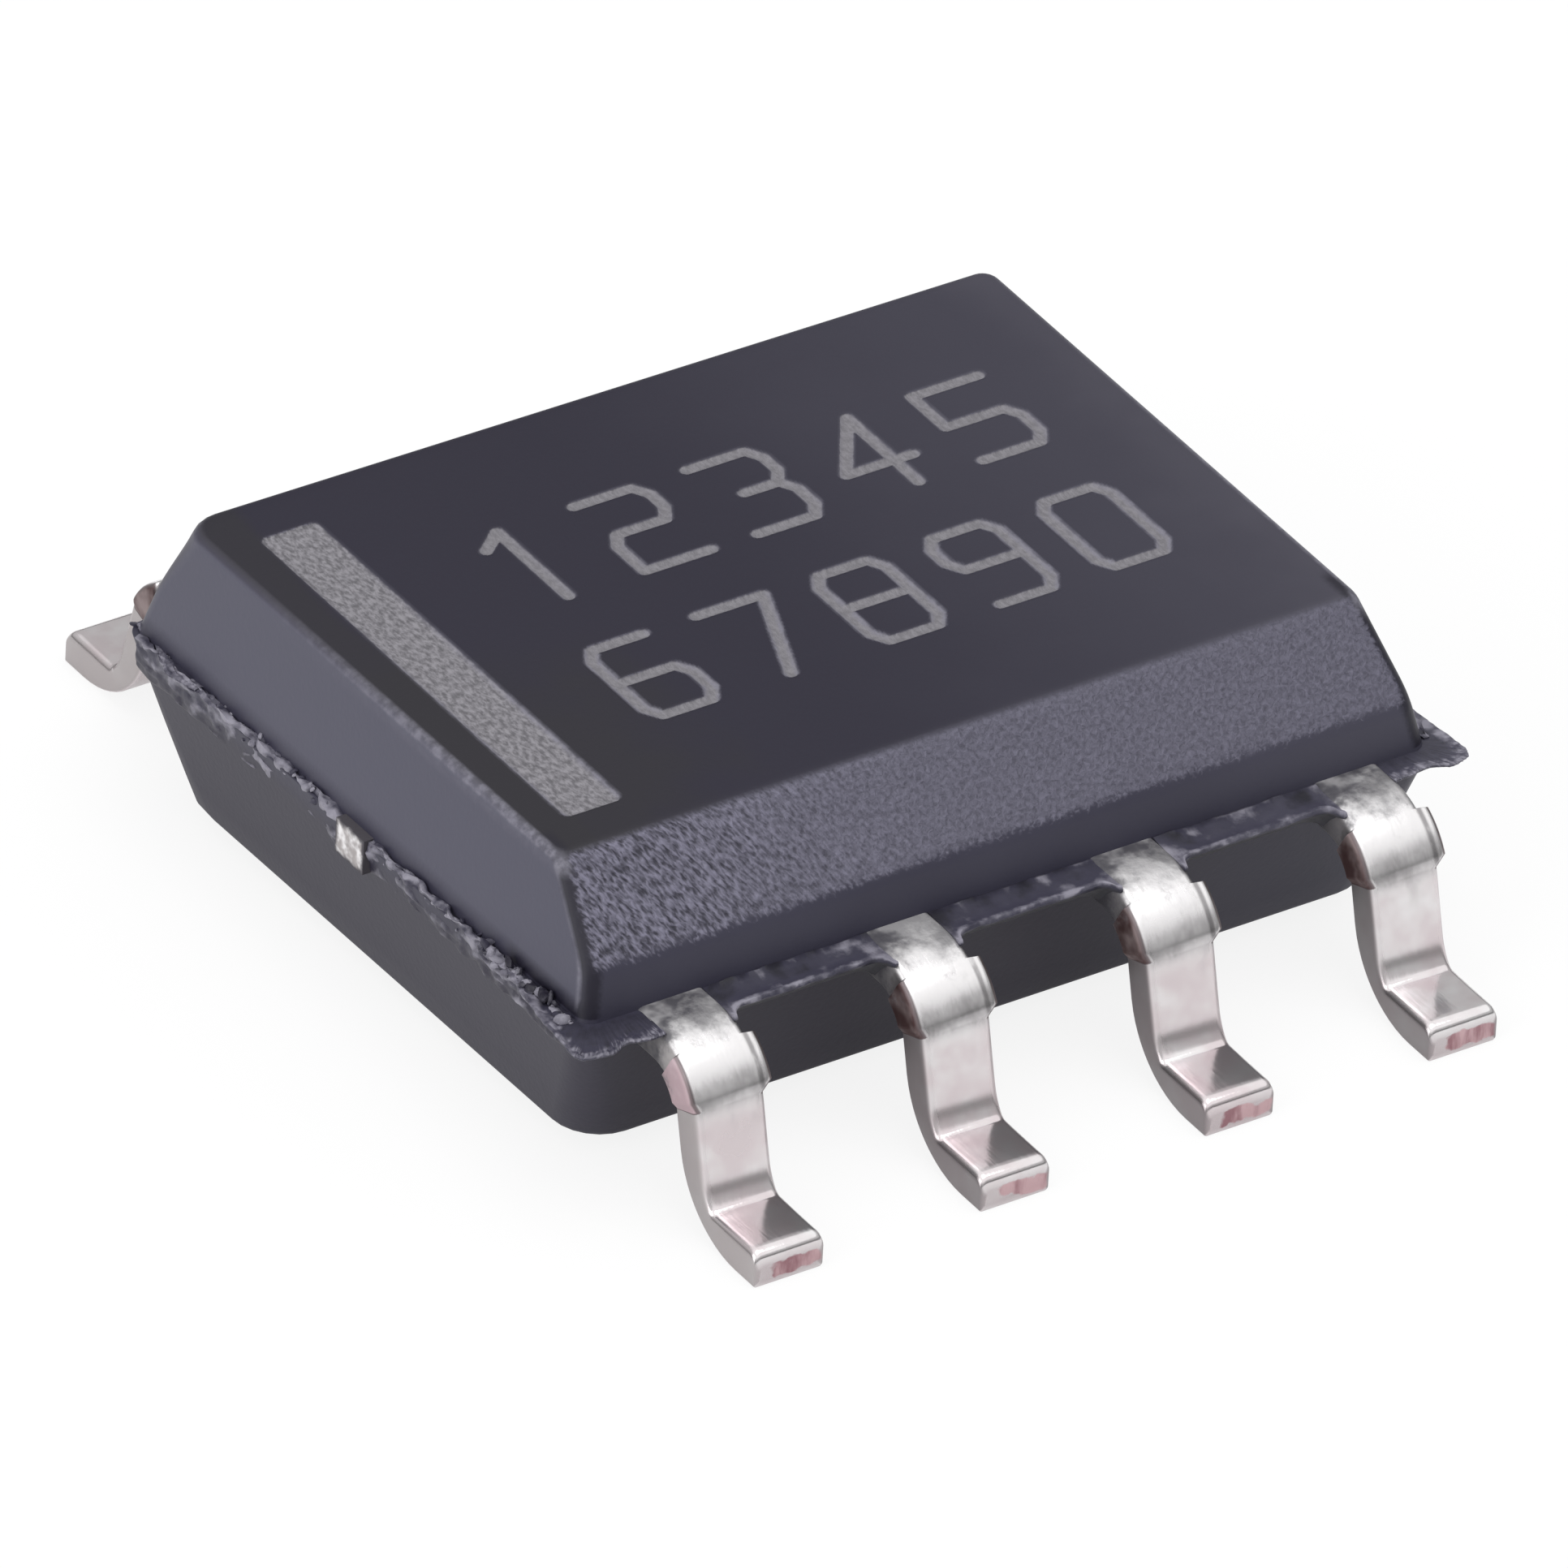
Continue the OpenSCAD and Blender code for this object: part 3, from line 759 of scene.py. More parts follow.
def web_profile(u):
    """Section of a web at u from its middle, with a fillet that climbs out along each lead."""
    near_lead = max(abs(u) - (web_half - web_fillet), 0) / web_fillet
    out = side_y + web_out + web_fillet * (1 - math.sqrt(max(1 - near_lead ** 2, 0)))
    # smear: more painted highlight where the web climbs onto a lead
    smear = 0.35 * near_lead
    foot = lower_wall(frame_thk, side_y, lower_draft)
    upper_face = [(side_y - into_wall, frame_top - 0.03, 0, 0, 0),
                  (side_y - 0.012, frame_top - 0.008, 0, 0.8, 0.4),
                  (side_y + 0.015, frame_top + 0.004, 0.25, 0.5, 1.2),
                  (side_y + 0.05, frame_top - 0.002, 0.1, 0.45, 1),
                  (side_y + 0.12, frame_top - 0.006, smear, 0.42, 0.8),
                  (out - 0.045, frame_top - 0.004, 0.2 + smear, 0.2, 0.7)]
    front = [(out - 0.024, frame_top + 0.003, 0.45 + smear, 0, 1),
             (out - 0.008, frame_top + 0.002, 0.5 + smear, 0, 1),
             (out, frame_top - 0.012, 0.3, 0.2, 0.7),
             (out - 0.006, frame_top - 0.028, 0, 0.7, 0.3)]
    # Painted shade under the web.
    underside = [(out - 0.05, frame_top - 0.05, 0, 0.8, 0.2),
                 (out - 0.1, frame_mid, 0, 0.8, 0.2),
                 (out - 0.15, frame_low + 0.03, 0, 0.7, 0.2),
                 (foot + 0.012, frame_low, 0, 0.4, 0.1),
                 (foot - 0.02, frame_low - 0.03, 0, 0, 0),
                 (side_y - into_wall - 0.05, frame_low - 0.03, 0, 0, 0)]
    return upper_face + front + underside


for side in (-1, 1):
    for gap in (-1, 0, 1):
        add_ledge(lines(-web_half - 0.02, web_half + 0.02, 0.016), web_profile,
                  lambda u, reach, height: (u * side + gap * pitch, side * reach, height),
                  0.008, 3 * gap + 11 * side)
print("webs: 6")


# %% Rough band along the ends
def rim_profile(u, sign):
    """Section of the rough band at y = u on one end: a crease, a crest and a torn face."""
    torn = 0.6 + 0.4 * bump_at(u, -1.5, 0.5) + 0.5 * bump_at(u, 0.6, 0.45) + 0.2 * wobble(u * 3, sign)
    deep = 0.19 + 0.06 * wobble(u * 4, 3.5, sign)
    chip = bump_at(u, -0.47, 0.045) if sign < 0 else 0
    top = frame_top - 0.004 - 0.03 * bump_at(u, 0, 0.13)
    crest = end_x + 0.045 + 0.012 * bump_at(abs(u), 0.135, 0.02) + 0.014 * chip
    wall = lower_wall(deep, end_x, end_draft)
    # shine: painted highlight on the crest and the torn face
    shine = 0.25 + 0.25 * torn
    # The crease at the parting line is painted dark.
    crease = [(end_x - into_wall, top - 0.05, 0, 0, 0),
              (end_x - 0.006, top - 0.02, 0, 1, 0.4),
              (end_x + 0.01, top - 0.014, 0, 1, 0.9)]
    ridge = [(end_x + 0.02, top + 0.002, shine + chip, 0.2, 1.2),
             (end_x + 0.028, top + 0.006, shine, 0, 1.2),
             (end_x + 0.034, top + 0.006, shine, 0, 1.2),
             (crest - 0.004, top + 0.004, shine + 0.15 + chip, 0, 1.3),
             (crest + 0.006, top - 0.01, shine, 0, 1.2)]
    face = [(crest + (wall + 0.014 - crest) * share ** 1.3, top - 0.014 - share * (deep - 0.014),
             shine * (1 - 0.5 * share), 0, torn * (1.2 - 0.5 * share))
            for share in (0.1, 0.2, 0.3, 0.4, 0.5, 0.6, 0.7, 0.8, 0.9)]
    foot = [(wall + 0.001, frame_top - deep - 0.012, 0, 0.3, 0.2),
            (wall - 0.05, frame_top - deep - 0.02, 0, 0, 0),
            (end_x - into_wall, frame_top - deep, 0, 0, 0)]
    return crease + ridge + face + foot


for sign in (-1, 1):
    add_ledge(lines(-side_y + 0.06, side_y - 0.1, 0.011), lambda u: rim_profile(u, sign),
              lambda u, reach, height: swollen(sign * reach, u, height), 0.02, 31 + 7 * sign)
print("rough bands: 2")


# %% Corner flash
flash_thk, flash_run = 0.03, 0.62
# Reach past the end wall and the side wall at each corner, by (at -X, at -Y)
flash_reach = {(True, True): (0.17, 0.26), (False, True): (0.14, 0.19), (False, False): (0.17, 0.08),
               (True, False): (0, 0.02)}


def along(path, share):
    """The point a share of the way along a path, where every step of the path counts the same."""
    place = min(max(share, 0), 1) * (len(path) - 1)
    first = min(int(place), len(path) - 2)
    return path[first] + (path[first + 1] - path[first]) * (place - first)


def flash_paths(end_reach, side_reach, seed):
    """Rim and root of the flash round one corner, from the outer lead to part way along the end."""
    lead_x = 1.5 * pitch + lead_width / 2 - 0.02
    x, y, run = end_x + end_reach, side_y + side_reach, side_y - flash_run
    x_in, y_in = end_x - into_wall, side_y - into_wall
    rim = [(lead_x, y - 0.02), (lead_x + 0.08, y - 0.02), (end_x - 0.09, y - 0.05), (end_x + 0.01, y),
           (x - 0.02, y - 0.03), (x, y - 0.08), (x - 0.02, side_y - 0.16), (end_x + 0.09, side_y - 0.42),
           (end_x + 0.045, run)]
    root = [(lead_x, y_in), (lead_x + 0.08, y_in), (end_x - 0.16, y_in), (x_in, y_in), (x_in, y_in),
            (x_in, y_in), (x_in, side_y - 0.2), (x_in, side_y - 0.42), (x_in, run)]
    rim, root = [Vector(p) for p in rim], [Vector(p) for p in root]
    count = 110
    shares = [i / count for i in range(count + 1)]
    smooth = [sum((along(rim, share + d) for d in (-0.016, 0, 0.016)), Vector((0, 0))) / 3
              for share in shares]
    smooth = [p + 0.01 * Vector((wobble(p.x * 9, p.y * 9, seed), wobble(p.x * 9, p.y * 9, seed + 7)))
              for p in smooth]
    return smooth, [along(root, share) for share in shares]


def flash_profile(length, torn):
    """Section of the flash from its root inside the wall to its rim and back underneath."""
    top, low = frame_top, frame_top - flash_thk
    upper_face = [(-length, top - 0.02, 0, 0, 0),
                  (-0.6 * length, top - 0.008, 0, 0.6, 0.1),
                  (-0.3 * length, top - 0.008, 0.1, 0.5, 0.4),
                  (-0.065, top - 0.008, 0.3, 0.3, 0.8)]
    # The rim carries a painted highlight.
    rim = [(-0.045, top - 0.004, 0.42, 0.1, 1),
           (-0.026, top - 0.002, 0.4 + torn * 0.2, 0, 1),
           (-0.01, top + 0.002, 0.5, 0, 0.8),
           (0, top - 0.003, 0.5, 0, 0.5),
           (0.001, top - 0.01, 0.35, 0, 0.5),
           (-0.006, top - 0.018, 0, 0.2, 0.2)]
    return upper_face + rim + [(-0.3 * length, low, 0, 0, 0.2), (-length, low, 0, 0, 0)]


def add_flash(end_reach, side_reach, flip_x, flip_y):
    seed = 2 * flip_x + flip_y
    rim, root = flash_paths(end_reach, side_reach, seed)
    mirror = Vector((-1 if flip_x else 1, -1 if flip_y else 1))

    def place_point(u, reach, height):
        i = round(u)
        out = (rim[i] - root[i]).normalized()
        spot = (rim[i] + out * reach) * mirror
        return swollen(spot.x, spot.y, height)

    add_ledge(range(len(rim)), lambda u: flash_profile((rim[u] - root[u]).length, smooth_step(u, 60, 90)),
              place_point, 0.008, 51 + seed)


for (flip_x, flip_y), reach in flash_reach.items():
    add_flash(*reach, flip_x, flip_y)
print("corner flash: 4")

# %% [markdown]
# ## Masks on the body
#
# The material needs to know where the coarse bevel, the end walls, the top edge, the upright
# corners and the spots with chalk, painted highlights or painted shade are. The first four are found
# by the way the faces point, and the others were noted while the ledges were made. All are numbers
# stored on the mesh's points. The top edge gets a painted highlight and the upright corners painted
# shade.

# %% Store the masks
shell.normal_update()
bevel_normal = Vector((0, -1, 1)).normalized()
for vert in shell.verts:
    above = vert.co.z > frame_top + 0.03
    sideways = abs(vert.normal.x)
    vert[layers["coarse"]] = smooth_step(vert.normal.dot(bevel_normal), 0.9, 0.97) if above else 0
    vert[layers["end_wall"]] = smooth_step(sideways, 0.75, 0.95) if above else 0
    turning = smooth_step(sideways, 0.1, 0.4) * smooth_step(sideways, 0.98, 0.88)
    on_edge = vert.co.z > body_top - edge_radius * 1.1
    past_wall = -vert.co.y > front_reach(vert.co.z) - upper_corner * 0.85
    # brink: where the painted highlight runs down the corner rims
    brink = smooth_step(sideways, 0.85, 0.92) * past_wall
    vert[layers["edge"]] = turning if on_edge else 0.8 * brink * above
    # The corner mask marks where painted shade darkens the upright corners.
    vert[layers["corner"]] = turning * above * (not on_edge) * (vert.normal.y < 0)
print("chalky points:", sum(vert[layers["chalk"]] > 0.3 for vert in shell.verts))
body_piece = object_from(shell, "resin_body")

# %% [markdown]
# ## Crumbs of flash
#
# Along each end wall the parting line is littered with crumbs that broke off the flash and stuck.
# Hundreds of small uneven grains along a line are a job for Geometry Nodes: points on a curve, a
# grain on each, a random size, turn and offset, all from one seed. The grains join the body,
# because they are the same resin.

# %% Crumbs with Geometry Nodes
def random_value(tree, low, high, seed):
    """A random number for each point, or a random vector where low and high are vectors."""
    if isinstance(low, tuple):
        return tree.node("FunctionNodeRandomValue", {"data_type": "FLOAT_VECTOR"},
                         {0: low, 1: high, "Seed": seed})
    return tree.node("FunctionNodeRandomValue", {"data_type": "FLOAT"},
                     {2: low, 3: high, "Seed": seed}, out=1)


def scaled(tree, vector, factor):
    return tree.node("ShaderNodeVectorMath", {"operation": "SCALE"}, {0: vector, "Scale": factor})


def scattered_points(tree, given):
    """Points along the line, each moved a little off it."""
    start, end = (tree.node("ShaderNodeCombineXYZ", None,
                            {"X": given["Reach"], "Y": given[name], "Z": given["Height"]})
                  for name in ("From", "To"))
    line = tree.node("GeometryNodeCurvePrimitiveLine", None, {"Start": start, "End": end})
    points = tree.node("GeometryNodeCurveToPoints", None, {"Curve": line, "Count": given["Count"]},
                       out="Points")
    shift = random_value(tree, (-0.35, -0.6, -0.5), (0.35, 0.6, 0.5), given["Seed"])
    return tree.node("GeometryNodeSetPosition", None,
                     {"Geometry": points, "Offset": scaled(tree, shift, given["Spread"])})


def lumpy_grain(tree):
    """A small ball, dented by noise."""
    ball = tree.node("GeometryNodeMeshIcoSphere", None, {"Radius": 1.0, "Subdivisions": 2}, out="Mesh")
    lumps = tree.node("ShaderNodeTexNoise", None, {"Scale": 1.3, "Detail": 1.0}, out="Color")
    lumps = tree.node("ShaderNodeVectorMath", {"operation": "SUBTRACT"}, {0: lumps, 1: (0.5, 0.5, 0.5)})
    return tree.node("GeometryNodeSetPosition", None, {"Geometry": ball, "Offset": lumps})


def crumb_group():
    group, tree, given = node_group("parting line crumbs", {
        "Count": "NodeSocketInt",
        **dict.fromkeys(("Reach", "From", "To", "Height", "Smallest", "Largest", "Spread"),
                        "NodeSocketFloat"),
        "Seed": "NodeSocketInt", "Material": "NodeSocketMaterial"})
    turn = random_value(tree, (0, 0, 0), (6.3, 6.3, 6.3), given["Seed"] + 1)
    size = random_value(tree, (0.4, 0.8, 0.4), (0.9, 1.6, 0.9), given["Seed"] + 2)
    pick = random_value(tree, given["Smallest"], given["Largest"], given["Seed"] + 3)
    grains = tree.node("GeometryNodeInstanceOnPoints", None,
                       {"Points": scattered_points(tree, given), "Instance": lumpy_grain(tree),
                        "Rotation": turn, "Scale": scaled(tree, size, pick)})
    grains = tree.node("GeometryNodeStoreNamedAttribute", {"data_type": "FLOAT", "domain": "INSTANCE"},
                       {"Geometry": grains, "Name": "chalk", "Value": random_value(tree, 0.25, 1.0, 9)})
    grains = tree.node("GeometryNodeRealizeInstances", None, {"Geometry": grains})
    join = group.nodes.new("GeometryNodeJoinGeometry")
    for part in (grains, given["Geometry"]):
        group.links.new(part.socket, join.inputs[0])
    return close_group(group, tree, Wire(tree, join.outputs[0]), given["Material"])


# %% Scatter the crumbs
crumbs = crumb_group()
# One line of crumbs: its end, its distance from the wall, where it starts and stops, how many crumbs,
# how far below the parting plane, the largest crumb and the seed
crumb_lines = [(-1, 0.026, -1.77, 1.77, 60, 0.035, 0.02, 4), (1, 0.026, -1.77, 1.77, 130, 0.035, 0.02, 27),
               (-1, 0.05, -1.88, -1.1, 34, 0.008, 0.042, 51), (-1, 0.035, 0.3, 1.3, 26, 0.03, 0.03, 73)]
for sign, out, y_from, y_to, count, below, largest, seed in crumb_lines:
    apply_group(body_piece, crumbs, {
        "Count": count, "Reach": sign * (end_x + out), "From": y_from, "To": y_to,
        "Height": frame_top - below, "Smallest": largest * 0.3, "Largest": largest, "Spread": 0.07,
        "Seed": seed, "Material": resin})
print("body with crumbs:", len(body_piece.data.polygons), "faces")
finished(body_piece, resin)

# %% [markdown]
# ## Tin-plated leads
#
# A lead is stamped from a thin strip, so its section is a small rectangle whose upper edges are
# rounded by the punch. After moulding it is bent twice into a gull wing. The piece is that section
# carried along the bent centreline: wide at the bonding tip inside the resin, narrow where it
# leaves, wider again for a moment where the tie between the leads was punched away.

# %% The path of a lead
shoulder_radius, heel_radius = 0.32, 0.43
heel_inner, crook_radius, crook_angle = 0.33, 0.05, math.radians(52)
leg_angle = math.radians(76)
foot_length = 0.16
stub_start, stub_end = math.radians(28.5), math.radians(70.3)
stub_taper = math.radians(7)
stub_left, stub_right = 0.02, 0.06
tip_width, tip_length, tip_y, tip_lean = 0.56, 0.26, 1.18, 0.36
half_thk = frame_thk / 2
toe_roll = 0.055

radii = shoulder_radius + heel_radius
leg_length = (frame_mid - half_thk - radii * (1 - math.cos(leg_angle))) / math.sin(leg_angle)
heel_y = toe_y - foot_length
shoulder_y = heel_y - radii * math.sin(leg_angle) - leg_length * math.cos(leg_angle)
neck_y = tip_y + tip_length + 0.2
shoulder_z = frame_mid - shoulder_radius
leg_top = (shoulder_y + (shoulder_radius + half_thk) * math.sin(leg_angle),
           shoulder_z + (shoulder_radius + half_thk) * math.cos(leg_angle))
bend_gap = heel_inner - crook_radius
bend_z = frame_thk + crook_radius + bend_gap * math.cos(crook_angle)
bend_y = (leg_top[0] + heel_inner * math.sin(leg_angle)
          + (leg_top[1] - bend_z + heel_inner * math.cos(leg_angle)) / math.tan(leg_angle))
crook_y = bend_y - bend_gap * math.sin(crook_angle)
heel_outer = heel_radius + half_thk


def heel_rows():
    """Upper face of the heel, each point with the nearest one on the lower face."""
    start = (bend_y - heel_inner * math.sin(leg_angle), bend_z - heel_inner * math.cos(leg_angle))
    upper = [(start[0] - rise / math.tan(leg_angle), start[1] + rise) for rise in (0.11, 0.07, 0.035)]
    for i in range(11):
        t = leg_angle + (crook_angle - leg_angle) * i / 10
        upper.append((bend_y - heel_inner * math.sin(t), bend_z - heel_inner * math.cos(t)))
    for i in range(1, 11):
        t = crook_angle * (1 - i / 10)
        upper.append((crook_y - crook_radius * math.sin(t), frame_thk + crook_radius * (1 - math.cos(t))))
    upper += [(crook_y + (heel_y - crook_y) * i / 5, frame_thk) for i in range(1, 6)]
    rows = []
    for y, z in upper:
        reach = math.hypot(heel_y - y, heel_outer - z)
        rows.append(((y, z), (heel_y - (heel_y - y) / reach * heel_outer,
                              heel_outer - (heel_outer - z) / reach * heel_outer), -1))
    return rows


def lead_stations():
    """Points of the upper and the lower face, side by side, from the tip to the toe.

    The upper face turns into the foot with a tight bend and the lower face with a wide one, because
    the forming tool presses the heel a little thinner.
    """
    rows = [((y, frame_top), (y, frame_low), 0.0) for y in
            (tip_y, tip_y + 0.01, tip_y + tip_length, neck_y, side_y - 0.1, side_y, side_y + 0.08)]
    turns = [leg_angle * i / 20 for i in range(21)]
    turns += [stub_start - 0.012, stub_start + 0.012, stub_end - stub_taper, stub_end]
    for t in sorted(turns):
        rows.append(tuple((shoulder_y + r * math.sin(t), shoulder_z + r * math.cos(t))
                          for r in (shoulder_radius + half_thk, shoulder_radius - half_thk)) + (t,))
    rows += heel_rows()
    rows.append(((heel_y + foot_length * 0.5, frame_thk), (heel_y + foot_length * 0.5, 0), -1))
    for d in (0.055, 0.042, 0.03, 0.02, 0.012, 0.005, 0.001, 0, 0):
        drop = toe_roll - math.sqrt(toe_roll ** 2 - max(toe_roll - d, 0) ** 2)
        rows.append(((toe_y - d, frame_thk - drop), (toe_y - d, 0), -1))
    return rows


print(f"lead: leg {leg_length:.2f} mm, shoulder at {shoulder_y:.2f} mm, foot top from {crook_y:.2f} mm")


# %% The section of a lead
upper_edge, lower_edge = 0.042, 0.02
masks = ("flank", "raw_cut", "across")


def section(left, right_side, thick, steps=5):
    """Points (across, up, sideways) round a stamped section; sideways is 1 on its flanks."""
    corners = [(right_side, 1, upper_edge, 0), (-left, 1, upper_edge, 90), (-left, -1, lower_edge, 180),
               (right_side, -1, lower_edge, 270)]
    points = []
    for x, sz, radius, start in corners:
        centre = (x - math.copysign(radius, x), sz * (thick - radius))
        for i in range(steps + 1):
            a = math.radians(start + 90 * i / steps)
            points.append((centre[0] + radius * math.cos(a), centre[1] + radius * math.sin(a),
                           abs(math.cos(a))))
    return points


def lead_rings(centre_x, side, lean):
    """The rings of a lead and, for each point, its masks in the order of their names.

    The last rings shrink to round the toe. A stub stands out further on one side of the lead,
    where the trim punch sits, and fades out over its taper.
    """
    rows = lead_stations()
    last = len(rows) - 1
    toe_shrink = {0: 0.012, last: 0.026, last - 1: 0.012, last - 2: 0.004}
    toe_cut = {last: 1, last - 1: 0.6, last - 2: 0.3}
    rings, notes = [], []
    for n, (top, bottom, turn) in enumerate(rows):
        on_tip = top[0] <= tip_y + tip_length
        on_stub = turn > 0 and stub_start <= turn <= stub_end
        half = (tip_width if on_tip else lead_width) / 2
        ear = min((stub_end - turn) / stub_taper, 1) if on_stub else 0
        shrink = toe_shrink.get(n, 0)
        rise_y, rise_z = top[0] - bottom[0], top[1] - bottom[1]
        thick = math.hypot(rise_y, rise_z) / 2
        middle_x = centre_x + (lean if on_tip else 0)
        ring = []
        for across, rise, sideways in section(half + stub_left * ear - shrink,
                                              half + stub_right * ear - shrink, thick - shrink):
            y = (top[0] + bottom[0]) / 2 + rise * rise_y / (2 * thick)
            z = (top[1] + bottom[1]) / 2 + rise * rise_z / (2 * thick)
            ring.append((middle_x + across, side * y, z))
            notes.append((sideways, sideways if on_stub else toe_cut.get(n, 0), across / half))
        rings.append(ring)
    return rings, notes


def make_lead(pin):
    """Pins 1 to 4 stand along -Y from -X to +X, and pins 5 to 8 come back along +Y."""
    front = pin <= 4
    place = pin - 1 if front else 8 - pin
    centre_x = (place - 1.5) * pitch
    lean = -math.copysign(tip_lean, centre_x) if place in (0, 3) else 0
    rings, notes = lead_rings(centre_x, -1 if front else 1, lean)
    bm = bmesh.new()
    layer = [bm.verts.layers.float.new(name) for name in masks]
    made = add_rings(bm, rings)
    for vert, values in zip((v for row in made for v in row), notes):
        for mask, value in zip(layer, values):
            vert[mask] = value
    bmesh.ops.recalc_face_normals(bm, faces=bm.faces)
    return object_from(bm, f"tin_lead_{pin}")


# %% [markdown]
# ## Tin plating
#
# Matt-bright tin mirrors the room softly: the overhead light on the shoulder, the dim room on the
# leg and in the hollow of the heel. The flanks were sheared and plated, so they are duller. The toe
# and the ends of the stubs were cut after plating and show pink copper alloy under smeared tin.

# %% Tin: the plated faces
def plated_colour(tree, y, z, cloud, scuff, flank, across, inner):
    """Bright tin: pink where thin on the leg, scuffed at the bends, dull on flanks; a painted dark band
    below the shoulder, and painted shade beside a stub and on the inner leads' flanks.
    """
    leg = tree.ramp_up(z, 0.72, 0.55) * tree.ramp_up(cloud, 0.3, 0.6)
    bends = tree.ramp_up(scuff, 0.5, 0.7) * tree.ramp_up(z, 0.45, 0.7) * 0.5
    # Painted reflection: a dark mottled band below the shoulder, where the dim room would show.
    lower = tree.ramp_up(z + (scuff - 0.5) * 0.12, 0.84, 0.76) * tree.ramp_up(z, 0.6, 0.68)
    # Painted shade along the seam where a stub steps out of the lead.
    groove = (tree.ramp_up(across, 0.84, 0.93) * tree.ramp_up(across, 1.06, 0.98)
              * tree.ramp_up(z, 0.66, 0.7))
    # Painted reflection: the flanks of the inner leads are made dark, for the body and neighbours they
    # would mirror.
    side_face = tree.mix_colours(inner * tree.ramp_up(y, 0.6, 0.5), (0.34, 0.315, 0.315),
                                 (0.12, 0.105, 0.11))
    return tree.coats(
        tree.mix_colours(leg, (0.77, 0.755, 0.76), (0.66, 0.59, 0.605)),
        (bends, (0.42, 0.41, 0.41)),
        (lower * (0.2 + tree.ramp_up(scuff, 0.35, 0.6) * 0.35), (0.36, 0.34, 0.35)),
        (groove * tree.ramp_up(scuff, 0.25, 0.5) * 0.7, (0.16, 0.15, 0.155)),
        (tree.ramp_up(flank, 0.6, 0.98) * 0.8, side_face))


# %% Tin: the cut ends
def cut_colour(tree, y, toe, smear, inner):
    """Bare copper alloy: pale on the first lead's stub, with painted shade on the others, dull at the
    toes.
    """
    lit_copper = tree.mix_colours(tree.ramp_up(smear, 0.36, 0.62), (0.50, 0.38, 0.41), (0.82, 0.70, 0.745))
    # Painted reflection: the stubs of the other leads mirror the dark body, so they are made dark.
    copper_in_painted_shade = tree.mix_colours(tree.ramp_up(smear, 0.4, 0.6), (0.07, 0.035, 0.035), (0.3, 0.24, 0.24))
    dull = tree.mix_colours(tree.ramp_up(smear, 0.38, 0.62), (0.3, 0.16, 0.18), (0.54, 0.37, 0.39))
    return tree.mix_colours(toe, tree.mix_colours(inner + tree.ramp_up(y, 0.5, 0.6), lit_copper, copper_in_painted_shade), dull)


def bare_copper(tree, place, z, across, raw, toe, smear, dirt):
    """1 where a cut is bare. At the toe the tin is dragged over the rim of the cut."""
    ragged = (dirt - 0.5) * 0.16
    torn = raw - toe * (tree.ramp_up(z + ragged, 0.045, 0.015) + tree.ramp_up(z + ragged, 0.1, 0.13)
                        + tree.ramp_up(across + ragged * 4, -0.35, -0.6)) * 0.8
    frayed = noise(tree, place, 26, 2, 0.6)
    return tree.ramp_up(torn + (smear - 0.5) * 0.4 + (frayed - 0.5) * toe * 0.9, 0.35, 0.9)


# %% [markdown]
# Where the lead leaves the resin, a film of resin bled over the tin. Two soft masks do that: a
# wide grey `bleed` and a dark film right at the wall, which is also painted shade by the wall.
# Both also take away some of the shine.

# %% Tin: the whole material
def make_tin():
    material, tree, shader, place = surface("tin")
    flank, raw, across = (stored(tree, name) for name in masks)
    x, y, z = axes(tree, place)
    reach = abs(y)
    cloud, dirt, grime = (noise(tree, place, *kind)
                          for kind in ((2.4, 3, 0.6), (5, 3, 0.6), (8, 4, 0.65)))
    scuff = noise(tree, place, 7, 4, 0.65, stretch=(1, 0.5, 0.5))
    smear = noise(tree, place, 9, 4, 0.6, stretch=(1, 0.25, 0.25))
    drawn = noise(tree, place, 24, 3, 0.6, stretch=(1, 0.12, 0.12))

    # inner: leads 2 to 4, whose flanks and stub ends get painted shade
    inner = tree.ramp_up(x, -1.8, -1.6)
    toe = tree.ramp_up(reach, toe_y - 0.06, toe_y - 0.03)
    bare = bare_copper(tree, place, z, across, raw, toe, smear, dirt)
    # Painted shade along the rounded edges of the stubs.
    stub_edge_shade = tree.ramp_up(raw, 0.25, 0.5) * tree.ramp_up(raw, 0.9, 0.7) * (1 - toe)
    bleed = tree.ramp_up(reach + (grime - 0.5) * 0.4, 2.28, 2.1)
    # Resin film and painted shade right at the wall.
    film_and_wall_shade = tree.ramp_up(reach + across * 0.1 + (grime - 0.5) * 0.5, 2.13, 1.98)
    colour = tree.coats(
        plated_colour(tree, y, z, cloud, scuff, flank, across, inner),
        (toe * raw * 0.7, (0.42, 0.37, 0.38)),
        (bare, cut_colour(tree, y, toe, smear, inner)),
        (stub_edge_shade * 0.8, (0.1, 0.07, 0.075)),
        (bleed * (0.45 + tree.ramp_up(dirt, 0.6, 0.4) * 0.4), (0.19, 0.185, 0.195)),
        (film_and_wall_shade * (0.55 + tree.ramp_up(dirt, 0.62, 0.4) * 0.4), (0.05, 0.048, 0.058)))
    rough = (0.23 - tree.ramp_up(z, 0.26, 0.2) * 0.09 + tree.ramp_up(cloud, 0.3, 0.8) * 0.06
             + flank * 0.14 + bare * 0.2 + bleed * 0.16)

    emboss(tree, shader, (drawn - 0.5) * 0.2 + (smear - 0.5) * (0.15 + bare * 1.2)
           + (grime - 0.5) * bleed * 1.2, 0.006)
    connect(tree, colour, shader, "Base Color")
    connect(tree, rough, shader, "Roughness")
    connect(tree, (1 - bleed * 0.35) * (1 - film_and_wall_shade) * 0.86, shader, "Metallic")
    return material


tin = make_tin()
leads = [finished(make_lead(pin), tin) for pin in range(1, 9)]
print("leads:", len(leads))

